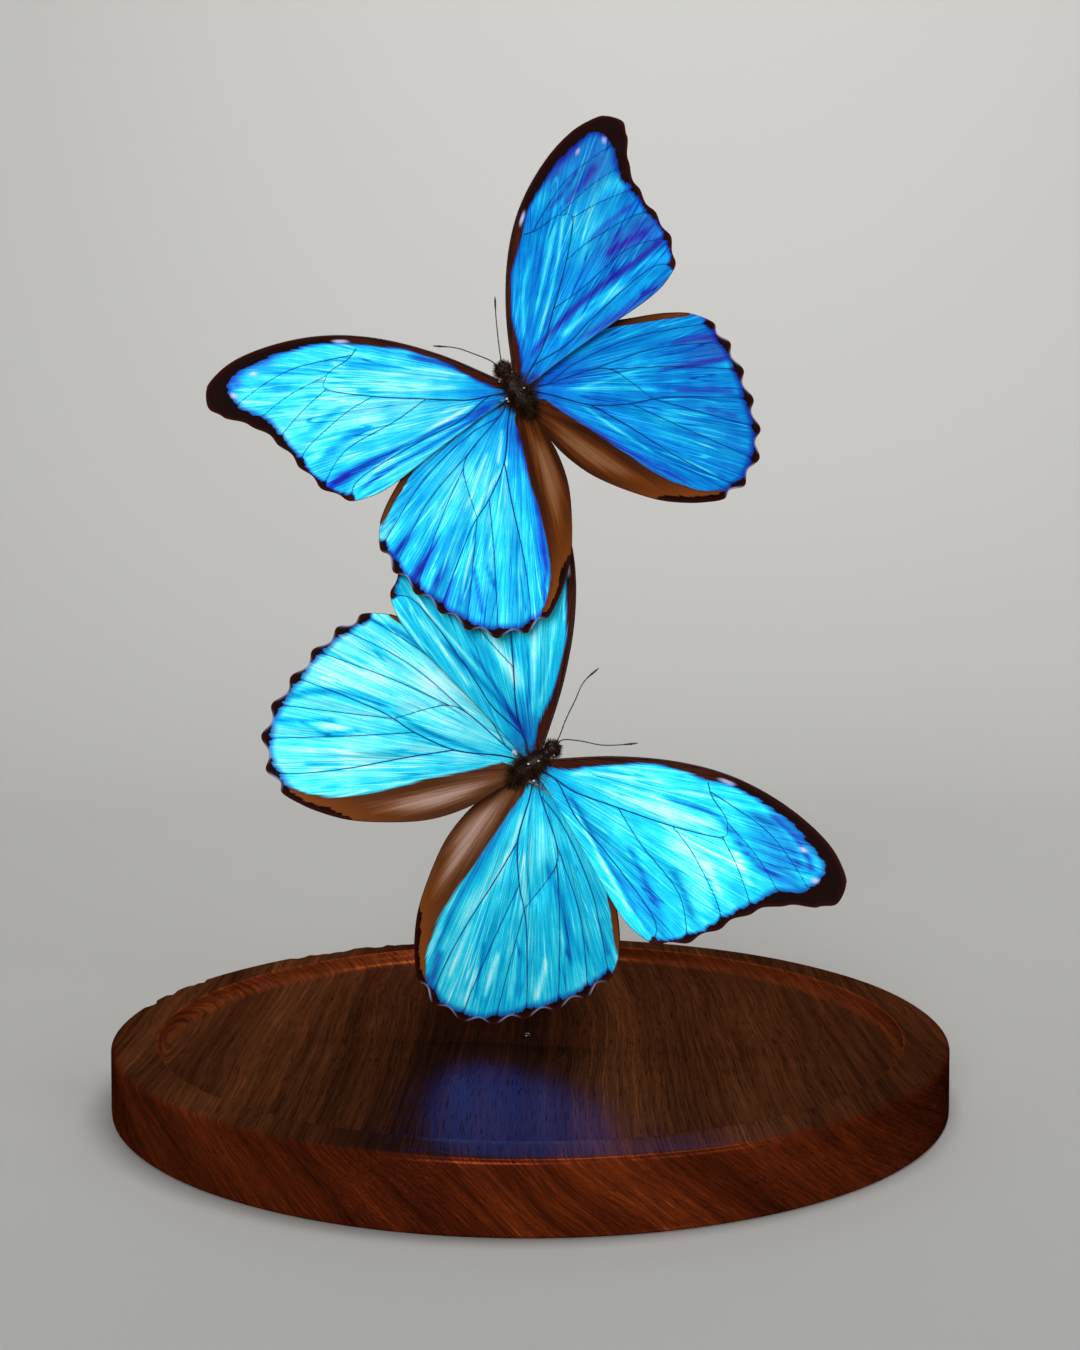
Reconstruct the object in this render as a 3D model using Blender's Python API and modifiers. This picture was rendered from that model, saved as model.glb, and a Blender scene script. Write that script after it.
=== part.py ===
"""Two blue butterflies, one above the other, on an upright wire in a turned wooden dome base.

The origin is the middle of the base's underside. +Z is up and the butterflies face -Y.
"""
from math import cos, pi, radians, sin

import bmesh
import bpy
from mathutils import Matrix, Vector

MM = 0.001
GAP = 0.3 * MM  # clearance between pieces that touch

# Base: a disc turned in dark wood, with the shallow recess that a dome stands in
BASE_RADIUS = 100.0 * MM
BASE_HEIGHT = 15.0 * MM
BASE_EDGE = 1.2 * MM  # radius of the softened outer edges
RECESS_RADIUS = 89.25 * MM
RECESS_DEPTH = 4.0 * MM
RECESS_COVE = 3.0 * MM  # hollow curve between the recess floor and its wall
BASE_SIDES = 72

# Wire: one straight upright that both butterflies are glued to
WIRE_X = -1.0 * MM
WIRE_RADIUS = 0.4 * MM
WIRE_TOP = 169.0 * MM
WIRE_HOLE_DEPTH = 6.0 * MM
FOOT_RADIUS = 1.4 * MM
FOOT_HEIGHT = 0.9 * MM

# Butterflies: the insects are seen from their backs
BODY_RADIUS = 2.8 * MM
BODY_Y = -(WIRE_RADIUS + GAP + BODY_RADIUS)
BODY_PROFILE = (  # radius and place along the body in mm, from the head to the tail
    (0.9, 8.0), (1.7, 7.2), (1.8, 6.2), (1.3, 5.0), (2.2, 3.6), (2.8, 1.2),
    (2.7, -1.6), (2.1, -4.0), (1.5, -5.6), (0.8, -7.0),
)
BODY_SIDES = 16
BUTTERFLIES = {  # middle of the thorax (x, z) in mm, and the way the head points in degrees
    "upper": {"centre": (-3.1, 168.0), "heading": 123.0},
    "lower": {"centre": (0.0, 78.4), "heading": 37.0},
}

# Wings: outlines in mm on the wing's own plane, x from the root to the tip and y to the
# leading edge. The outer margin hangs between the vein ends in shallow scallops.
WING_THICKNESS = 0.4 * MM
WING_CAMBER = 0.8  # mm that the middle of a wing bulges towards its upper face
WING_HUB = (3.0, 0.0)
WING_RINGS = (0.68, 0.36)
SCALLOP_STEPS = 3
LEADING_STEPS = 2
WINGS = {
    "forewing": {
        "length": 76.5,
        "leading": ((0, 2.5), (15, 9.6), (30, 14.2), (44, 15.6), (58, 13.1), (69.5, 7.9), (76.3, 1.5)),
        "vein_ends": ((75.3, -4.2), (71.4, -6.2), (64.3, -8.7), (58, -13.5), (52.9, -19.4),
                      (47.2, -25.5), (39.5, -29)),
        "trailing": ((29.6, -24.5), (17.7, -15.8), (5, -6)),
        "scallop": 1.0,
        "root": (2.0, 3.4, 1.2),  # mm towards the head, out from the middle and up off it
    },
    "hindwing": {
        "length": 60.6,
        "leading": ((-0.5, 3), (2.5, 10), (8, 16), (15, 20.5), (22, 23), (30, 25.8), (37, 27.3)),
        "vein_ends": ((44, 26), (48.8, 21.5), (53.2, 14.8), (56.7, 7.5), (59.8, 0), (60.6, -8),
                      (57.5, -16), (52.5, -20.3)),
        "trailing": ((45, -22.3), (36, -22.6), (26, -21), (16, -18.2), (8, -12), (2, -3.5)),
        "scallop": 1.3,
        "root": (-2.0, 3.4, 0.2),
    },
}
# How each wing lies: its size, the way it points from the root, and how far its tip and its
# trailing edge come forward, in degrees
WING_POSES = {
    ("upper", "left", "forewing"): (0.93, 180.0, 4.0, 8.0),
    ("upper", "right", "forewing"): (0.935, 72.6, -13.0, 8.0),
    ("upper", "left", "hindwing"): (0.935, -101.0, 8.0, -3.0),
    ("upper", "right", "hindwing"): (0.92, -8.6, -4.0, 9.0),
    ("lower", "left", "forewing"): (1.02, 96.0, -1.5, 4.0),
    ("lower", "right", "forewing"): (0.99, -20.5, 12.0, 7.0),
    ("lower", "left", "hindwing"): (1.01, 167.0, 3.0, 8.0),
    ("lower", "right", "hindwing"): (1.01, -99.0, 1.0, -8.0),
}

# Antennae and the one leg that shows: paths in mm from the middle of the thorax
ANTENNA_RADIUS = 0.22 * MM
ANTENNA_CLUB = 1.9  # the tip's radius as a multiple of the shaft's
LEG_RADIUS = 0.32 * MM
FEELERS = {
    "upper_left_antenna": ("upper", ((-4.3, -2.3, 5.4), (-6.4, -3.3, 7.1), (-10.4, -4.3, 8.6),
                                     (-14.6, -4.9, 9.9), (-20.0, -5.3, 10.3))),
    "upper_right_antenna": ("upper", ((-3.8, -2.3, 6.2), (-4.3, -2.4, 9.5), (-4.7, -2.5, 12.7),
                                      (-5.2, -2.7, 17.8), (-5.4, -2.9, 22.3))),
    "lower_left_antenna": ("lower", ((6.8, -1.7, 6.9), (8.4, -1.9, 11.1), (10.6, -2.3, 15.7),
                                     (12.7, -2.6, 20.2), (16.3, -2.8, 23.6))),
    "lower_right_antenna": ("lower", ((7.6, -1.6, 6.2), (11.8, -1.9, 6.0), (16.8, -2.9, 5.1),
                                      (21.3, -3.9, 5.2), (25.6, -4.8, 5.7))),
    "lower_leg": ("lower", ((-0.5, -3.6, -3.5), (1.7, -4.7, -4.6), (4.8, -4.9, -6.7))),
}


def collection(name):
    """Return a new collection in the scene."""
    made = bpy.data.collections.new(name)
    bpy.context.scene.collection.children.link(made)
    return made


def material(name, colour, roughness, metallic=0.0):
    """Return a Principled material with one colour."""
    made = bpy.data.materials.new(name)
    made.use_nodes = True
    shader = made.node_tree.nodes["Principled BSDF"]
    shader.inputs["Base Color"].default_value = (*colour, 1.0)
    shader.inputs["Roughness"].default_value = roughness
    shader.inputs["Metallic"].default_value = metallic
    made.diffuse_color = (*colour, 1.0)
    return made


def mesh_object(name, mesh, finish, group):
    """Link a mesh into the scene as a named object with one material."""
    made = bpy.data.objects.new(name, mesh)
    group.objects.link(made)
    if finish:
        mesh.materials.append(finish)
    return made


def profile_mesh(name, points, closed=False):
    """Return a mesh with one run of edges through points (radius, height)."""
    shape = bmesh.new()
    verts = [shape.verts.new((radius, 0.0, height)) for radius, height in points]
    for first, second in zip(verts, verts[1:]):
        shape.edges.new((first, second))
    if closed:
        shape.edges.new((verts[-1], verts[0]))
    mesh = bpy.data.meshes.new(name)
    shape.to_mesh(mesh)
    shape.free()
    return mesh


def turned(name, points, sides, finish, group, closed=False):
    """Turn a profile, listed down its outer side, round the object's Z axis."""
    made = mesh_object(name, profile_mesh(name, points, closed), finish, group)
    screw = made.modifiers.new("turn", "SCREW")
    screw.steps = sides
    screw.render_steps = sides
    screw.use_merge_vertices = True
    screw.merge_threshold = 0.00001
    return made


def arc(centre, radius, start, end, steps):
    """Return points on an arc, angles in degrees from the outward direction."""
    turn = [radians(start + (end - start) * i / steps) for i in range(steps + 1)]
    return [(centre[0] + radius * cos(a), centre[1] + radius * sin(a)) for a in turn]


def make_base(finish, group, cutters):
    """Turn the base and drill the wire's hole in its recess floor."""
    floor = BASE_HEIGHT - RECESS_DEPTH
    profile = [(0.0, floor)]
    profile += arc((RECESS_RADIUS - RECESS_COVE, floor + RECESS_COVE), RECESS_COVE, -90, 0, 3)
    profile += [(RECESS_RADIUS, BASE_HEIGHT)]
    rim = (BASE_RADIUS - BASE_EDGE, BASE_HEIGHT - BASE_EDGE)
    profile += arc(rim, BASE_EDGE, 90, 0, 3)
    profile += arc((rim[0], BASE_EDGE), BASE_EDGE, 0, -90, 3)
    profile += [(0.0, 0.0)]
    base = turned("base", profile, BASE_SIDES, finish, group)

    drill = bmesh.new()
    bmesh.ops.create_cone(
        drill, cap_ends=True, segments=16, radius1=WIRE_RADIUS + GAP, radius2=WIRE_RADIUS + GAP,
        depth=2.0 * WIRE_HOLE_DEPTH, matrix=Matrix.Translation((WIRE_X, 0.0, floor)),
    )
    mesh = bpy.data.meshes.new("wire_hole")
    drill.to_mesh(mesh)
    drill.free()
    hole = mesh_object("wire_hole", mesh, None, cutters)
    hole.hide_render = True
    hole.display_type = "WIRE"
    cut = base.modifiers.new("wire hole", "BOOLEAN")
    cut.operation = "DIFFERENCE"
    cut.solver = "EXACT"
    cut.object = hole
    return base


def tube(name, points, radius, finish, group, club=1.0):
    """Make a round tube through points, its last point as wide as club says."""
    curve = bpy.data.curves.new(name, "CURVE")
    curve.dimensions = "3D"
    curve.bevel_depth = radius
    curve.bevel_resolution = 2
    curve.use_fill_caps = True
    spline = curve.splines.new("POLY")
    spline.points.add(len(points) - 1)
    for point, place in zip(spline.points, points):
        point.co = (*place, 1.0)
    spline.points[-1].radius = club
    curve.materials.append(finish)
    made = bpy.data.objects.new(name, curve)
    group.objects.link(made)
    return made


def make_wire(finish, glue, group):
    """Stand the wire in its hole, with a ring of glue round its foot."""
    floor = BASE_HEIGHT - RECESS_DEPTH
    ends = (Vector((0.0, 0.0, floor - WIRE_HOLE_DEPTH + GAP)), Vector((0.0, 0.0, WIRE_TOP)))
    wire = tube("stem_wire", ends, WIRE_RADIUS, finish, group)
    wire.location.x = WIRE_X

    inner = WIRE_RADIUS + GAP
    ring = [(inner, FOOT_HEIGHT), (0.75 * FOOT_RADIUS, FOOT_HEIGHT)]
    ring += [(FOOT_RADIUS, 0.4 * FOOT_HEIGHT), (FOOT_RADIUS, 0.0), (inner, 0.0)]
    foot = turned("wire_foot", ring, 16, glue, group, closed=True)
    foot.location = (WIRE_X, 0.0, floor + GAP)


def thorax(insect):
    """Return the middle of a butterfly's thorax."""
    x, z = BUTTERFLIES[insect]["centre"]
    return Vector((x * MM, BODY_Y, z * MM))


def head_direction(insect):
    """Return the unit vector that a butterfly's head points along."""
    heading = radians(BUTTERFLIES[insect]["heading"])
    return Vector((cos(heading), 0.0, sin(heading)))


def make_body(insect, finish, group):
    """Turn the head, thorax and what is left of the abdomen as one stout body."""
    profile = [(0.0, BODY_PROFILE[0][1] + 0.4)] + list(BODY_PROFILE)
    profile += [(0.0, BODY_PROFILE[-1][1] - 0.3)]
    points = [(radius * MM, place * MM) for radius, place in profile]
    body = turned(insect + "_body", points, BODY_SIDES, finish, group)
    body.rotation_euler.y = radians(90.0 - BUTTERFLIES[insect]["heading"])
    body.location = thorax(insect)


def smooth_run(points, steps):
    """Return a smooth curve through points, with steps pieces between each two."""
    places = [Vector(p) for p in points]
    padded = [2 * places[0] - places[1]] + places + [2 * places[-1] - places[-2]]
    run = []
    for a, b, c, d in zip(padded, padded[1:], padded[2:], padded[3:]):
        for i in range(steps):
            t = i / steps
            run.append(0.5 * (2 * b + (c - a) * t + (2 * a - 5 * b + 4 * c - d) * t ** 2
                              + (3 * b - a - 3 * c + d) * t ** 3))
    run.append(places[-1])
    return run


def scalloped_run(points, depth, steps):
    """Return an edge that hangs in from the line between each two vein ends."""
    hub = Vector(WING_HUB)
    places = [Vector(p) for p in points]
    run = []
    for a, b in zip(places, places[1:]):
        for i in range(steps):
            t = i / steps
            place = a.lerp(b, t)
            hang = min(1.0, (b - a).length / 6.0) * depth * sin(pi * t)
            run.append(place + (hub - place).normalized() * hang)
    run.append(places[-1])
    return run


def wing_outline(kind):
    """Return a wing's closed outline in mm, from the root along its leading edge."""
    shape = WINGS[kind]
    outline = smooth_run(shape["leading"], LEADING_STEPS)
    outline += scalloped_run(shape["vein_ends"], shape["scallop"], SCALLOP_STEPS)
    return outline + smooth_run(shape["trailing"], 1)


def wing_sheet(kind, side, size):
    """Return the wing as a thin cambered sheet: rings of faces drawn in to a hub at the root."""
    outline = wing_outline(kind)
    hub = Vector(WING_HUB)
    length = WINGS[kind]["length"]
    sheet = bmesh.new()
    rim = bmesh.ops.create_circle(sheet, segments=len(outline), radius=1.0)["verts"]
    for vert, place in zip(rim, outline):
        vert.co = (place.x, place.y, 0.0)
    edges = sheet.edges[:]
    for share in WING_RINGS + (0.0,):
        grown = bmesh.ops.extrude_edge_only(sheet, edges=edges)["geom"]
        ring = [item for item in grown if isinstance(item, bmesh.types.BMVert)]
        edges = [item for item in grown if isinstance(item, bmesh.types.BMEdge)]
        if share:
            for vert, place in zip(ring, outline):
                vert.co = (*hub.lerp(place, share), 0.0)
        else:
            bmesh.ops.pointmerge(sheet, verts=ring, merge_co=(*hub, 0.0))
    for vert in sheet.verts:
        reach = max(0.0, vert.co.x / length)
        vert.co.z = WING_CAMBER * 4.0 * reach * (1.0 - reach)
        vert.co = Vector((vert.co.x, vert.co.y * side, vert.co.z)) * size * MM
    bmesh.ops.recalc_face_normals(sheet, faces=sheet.faces)
    mesh = bpy.data.meshes.new(kind)
    sheet.to_mesh(mesh)
    sheet.free()
    return mesh


def wing_placement(insect, side, kind, angles):
    """Return the matrix that puts a wing's plane at its root on the thorax."""
    ahead, out, up = WINGS[kind]["root"]
    head = head_direction(insect)
    sideways = Vector((head.z, 0.0, -head.x)) * side
    face = Vector((0.0, -1.0, 0.0))
    root = thorax(insect) + (head * ahead + sideways * out + face * up) * MM

    angle, lift, roll = (radians(value) for value in angles)
    along = Vector((cos(angle), 0.0, sin(angle)))
    lifted = along * cos(lift) + face * sin(lift)
    upper = face * cos(lift) - along * sin(lift)
    trailing = along.cross(face) * side * cos(roll) + upper * sin(roll)
    across = -trailing * side
    normal = lifted.cross(across)
    turn = Matrix((lifted, across, normal)).transposed().to_4x4()
    return Matrix.Translation(root) @ turn


def make_wing(insect, side_name, kind, pose, finish, group):
    """Make one wing and set it at its pose."""
    side = 1 if side_name == "right" else -1
    mesh = wing_sheet(kind, side, pose[0])
    wing = mesh_object(f"{insect}_{side_name}_{kind}", mesh, finish, group)
    wing.matrix_world = wing_placement(insect, side, kind, pose[1:])
    skin = wing.modifiers.new("thickness", "SOLIDIFY")
    skin.thickness = WING_THICKNESS
    skin.offset = 0.0


def make_feelers(antenna_finish, leg_finish, group):
    """Make the antennae, each with its club, and the leg."""
    for name, (insect, path) in FEELERS.items():
        points = [Vector(p) * MM for p in path]
        if name.endswith("antenna"):
            made = tube(name, points, ANTENNA_RADIUS, antenna_finish, group, ANTENNA_CLUB)
        else:
            made = tube(name, points, LEG_RADIUS, leg_finish, group, 0.5)
        made.location = thorax(insect)


def main():
    """Build every piece of the mounted butterflies."""
    for old in list(bpy.data.objects):
        bpy.data.objects.remove(old, do_unlink=True)
    group = collection("mounted_butterflies")
    cutters = collection("cutters")

    make_base(material("stained wood", (0.065, 0.025, 0.012), 0.4), group, cutters)
    make_wire(
        material("brass wire", (0.45, 0.28, 0.1), 0.35, 1.0),
        material("glue", (0.05, 0.02, 0.01), 0.3),
        group,
    )
    fur = material("dark fur", (0.018, 0.01, 0.007), 0.85)
    for insect in BUTTERFLIES:
        make_body(insect, fur, group)
    blues = {
        "upper": material("azure wing scales", (0.0, 0.3, 0.75), 0.4),
        "lower": material("turquoise wing scales", (0.02, 0.55, 0.8), 0.4),
    }
    for (insect, side_name, kind), pose in WING_POSES.items():
        make_wing(insect, side_name, kind, pose, blues[insect], group)
    horn = material("antenna horn", (0.03, 0.018, 0.012), 0.5)
    make_feelers(horn, material("pale leg", (0.45, 0.36, 0.28), 0.6), group)


main()
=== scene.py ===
"""Two blue butterflies on an upright wire in a turned wooden dome base: their finished looks.

The shapes are made at real size in metres, +Z up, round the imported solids. The butterflies' backs
face -Y. Wing outlines and markings are in millimetres on each wing's own plane, with x from the
root to the tip and y towards the leading edge.
"""
from functools import partial
from math import cos, pi, radians, sin, tau

import bmesh
import bpy
import numpy as np
from mathutils import Matrix, Vector


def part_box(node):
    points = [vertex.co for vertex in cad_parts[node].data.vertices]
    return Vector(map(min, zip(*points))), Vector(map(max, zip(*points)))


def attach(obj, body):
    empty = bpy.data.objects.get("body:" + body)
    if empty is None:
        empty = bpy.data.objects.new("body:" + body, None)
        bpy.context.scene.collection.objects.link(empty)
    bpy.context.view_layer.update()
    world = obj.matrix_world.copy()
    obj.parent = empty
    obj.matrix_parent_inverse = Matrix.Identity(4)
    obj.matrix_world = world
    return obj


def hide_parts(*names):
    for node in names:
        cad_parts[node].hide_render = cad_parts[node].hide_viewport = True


bl_info = {
    "name": "Mounted Butterflies",
    "version": (1, 0, 0),
    "blender": (4, 5, 0),
    "location": "View3D > Sidebar > Butterflies",
    "description": "Builds two mounted blue butterflies on a turned wooden base",
    "category": "Add Mesh",
}

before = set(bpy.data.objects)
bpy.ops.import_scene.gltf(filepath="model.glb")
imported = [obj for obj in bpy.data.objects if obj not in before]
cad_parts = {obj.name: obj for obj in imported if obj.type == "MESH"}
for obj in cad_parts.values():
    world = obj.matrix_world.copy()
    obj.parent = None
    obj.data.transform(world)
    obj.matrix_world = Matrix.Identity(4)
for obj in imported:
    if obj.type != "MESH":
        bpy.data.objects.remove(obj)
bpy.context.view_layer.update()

MM = 0.001
BASE_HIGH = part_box("base")[1]
BASE_RADIUS = BASE_HIGH.x
BASE_HEIGHT = BASE_HIGH.z
WIRE_LOW, WIRE_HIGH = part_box("stem_wire")
WIRE_X = 0.5 * (WIRE_LOW.x + WIRE_HIGH.x)

# The eye that sees the object: its place and downward tilt, and its lens on an upright sensor
EYE_PLACE = (0.0022, -0.390, 0.116)
EYE_TILT = 2.34
LENS_MM = 42.67
SENSOR_MM = 36.0

# Where each butterfly's thorax is (x, z) and the way its head points in degrees
BODY_Y = -3.5
BUTTERFLIES = {
    "upper": {"centre": (-3.1, 168.0), "heading": 123.0},
    "lower": {"centre": (0.0, 78.4), "heading": 37.0},
}

# Wing outlines, their veins and the edge of their dark border
WING_HUB = (3.0, 0.0)
WING_CAMBER = 0.8
WINGS = {
    "forewing": {
        "length": 76.5,
        "leading": ((-3.2, 1.2), (1, 3.4), (15, 9.5), (30, 13.8), (44, 15.1), (58, 13), (70, 8.2),
                    (76.8, 1.8)),
        "vein_ends": ((76.4, -4.6), (71.6, -6.6), (64.3, -8.9), (58, -13.7), (52.9, -19.6),
                      (47.3, -25.6), (40, -29.2)),
        "trailing": ((32.8, -27.2), (27, -23.4), (17.7, -16), (5, -6.3), (-0.5, -2.6), (-3.4, -0.6)),
        "scallop": 1.0,
        "root": (2.0, 3.4, 1.2),
        "streak_hub": (-14.0, 1.0),
        "eyespots": ((58.5, 5.0, 2.6), (53.5, -5.0, 3.4), (46.0, -13.5, 3.0)),
        "veins": (
            (1.0, ((-2, 0), (2.4, -0.7), (8.9, -2), (19.7, -1.7), (33.6, -1), (45.6, 0.9), (45.4, 4.6))),
            (0.7, ((37.7, 11.8), (39.8, 9), (44.4, 5.8), (45.4, 4.6))),
            (0.55, ((45.6, 0.9), (51, -4), (57, -11), (58, -13.5))),
            (0.5, ((33.6, -1), (40.7, -5.5), (50.3, -14.3), (52.9, -19.4))),
            (0.5, ((19.7, -1.7), (28.1, -7.8), (40.8, -15.4), (47.2, -25.5))),
            (0.75, ((-2, -0.4), (3.3, -1.1), (11.3, -7.8), (21.1, -12.8), (37.2, -22.8), (39.5, -29))),
            (0.5, ((39.1, 10), (55.6, 5.8), (68.5, -2.8), (71.4, -6.2))),
            (0.45, ((45.4, 4.6), (55, -0.5), (62, -6), (64.3, -8.7))),
        ),
    },
    "hindwing": {
        "length": 60.6,
        "leading": ((-3.6, 1.0), (-0.5, 4.5), (2.5, 10), (8, 16), (15, 20.5), (22, 23), (30, 25.8),
                    (37, 27.3)),
        "vein_ends": ((44, 26), (48.8, 21.5), (53.2, 14.8), (56.7, 7.5), (59.8, 0), (60.6, -8),
                      (57.5, -16), (52.5, -20.3)),
        "trailing": ((45, -22.3), (36, -22.9), (26, -21.3), (16.5, -18.5), (8, -13.4), (3, -8.4),
                     (-1, -5.2), (-3.6, -2)),
        "scallop": 1.8,
        "root": (-2.0, 3.4, 0.2),
        "streak_hub": (-9.0, 0.0),
        "eyespots": ((38.0, 17.5, 4.6), (46.0, 2.5, 3.2), (46.5, -5.5, 3.6), (43.5, -13.0, 2.6)),
        "veins": (
            (0.9, ((-1, 0), (4, -0.1), (14.8, -1.2), (25, 0.8), (30.6, 2.9), (35.7, 4.3), (48, 6.4),
                   (56.7, 7.5))),
            (0.75, ((14.8, -1.2), (25.5, -5.4), (38.3, -10.9), (50, -14.8), (57.5, -16))),
            (0.5, ((25, 0.8), (39.8, -3.4), (58.1, -8), (60.6, -8))),
            (0.45, ((30.6, 2.9), (45, 1.4), (59.8, 0))),
            (0.7, ((-1, 1), (3, 2.4), (13.6, 8), (18.3, 8.9), (22.5, 7.4), (30.6, 2.9))),
            (0.5, ((18.3, 8.9), (33, 12), (53.2, 14.8))),
            (0.45, ((13.6, 8), (30, 16.5), (48.8, 21.5))),
            (0.5, ((3, 2.4), (10, 9.5), (24, 18.5), (44, 26))),
        ),
    },
}
FORE_BORDER = ((-3, 0.6), (4.8, 2.6), (13.4, 7.2), (23.1, 11), (30.1, 12.1), (37.7, 12.6), (45.5, 13),
               (55.1, 11.2), (63.9, 7.8), (69.3, 4.6), (71, 1.6), (68.5, -3.5), (63.3, -6.1),
               (59.7, -8.5), (57, -13.5), (52.3, -18.6), (46.4, -26.3))
FORE_BACK = ((39.5, -36), (28, -32), (15, -24), (2, -12), (-5, -4))
HIND_FOLD = ((3, -1.5), (10, -5), (20, -9.5), (28.5, -13.8), (37, -17.3), (45, -18.8), (52, -18))
HIND_FOLD_FIELD = HIND_FOLD + ((60, -22), (52, -30), (20, -30), (-4, -12), (-2, -2))
HIND_BORDER_WIDTH = 2.0
CORNER_SETBACK = 0.4  # how much narrower the hindwing's border is at its corner
PLEAT_HEIGHT = 0.3
PLEAT_REACH = 2.2  # how far a pleat's slope spreads beside a vein
VEIN_RADII = (0.21, 0.09)  # at the root, times the vein's strength, and at its end
RIB_RADII = (0.4, 0.12)
STREAK_MM = 45.0  # how many mm one radian of the fan takes in the streak map
FORE_SPOTS = ((41.8, 13.6, 2.6, 0.6), (64.4, 5.2, 1.0, 0.8), (69.4, -0.6, 0.6, 0.8))
RIPPLES = ((34.0, 0.05), (57.0, 0.035), (91.0, 0.02), (21.0, 0.07))  # waves in the fan, and height in mm

# How finely a wing is cut, how round its corners are, and how far its rings of faces lie from the edge
OUTLINE_STEP = 0.5
CORNER_PASSES = 26
EDGE_PASSES = 2
MARGIN_RINGS = (0.3, 0.6, 1.0, 1.4, 1.9, 2.5, 3.2, 4.0, 5.0, 6.0, 7.2, 8.5, 10.0)
FULL_RAY = 25.0
INNER_RINGS = 30
SHEET_THICKNESS = 0.16

FAR = 1e9  # beyond every distance here
TINY = 1e-12  # kept from nought where something is divided

# How each wing lies: its size, the way it points, and how far tip and trailing edge come forward
WING_POSES = {
    ("upper", "left", "forewing"): (0.912, 180.8, 4.0, 8.0),
    ("upper", "right", "forewing"): (0.931, 72.6, -13.0, 8.0),
    ("upper", "left", "hindwing"): (0.92, -101.0, 8.0, -3.0),
    ("upper", "right", "hindwing"): (0.935, -8.6, -4.0, 9.0),
    ("lower", "left", "forewing"): (1.02, 96.0, -1.5, 4.0),
    ("lower", "right", "forewing"): (0.99, -20.5, 12.0, 7.0),
    ("lower", "left", "hindwing"): (1.01, 167.0, 3.0, 8.0),
    ("lower", "right", "hindwing"): (1.01, -99.0, 1.0, -8.0),
}

FOLD_DROOP = {"left": 0.3, "right": 1.8}  # how far back each hindwing's fold bends, in mm

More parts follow.
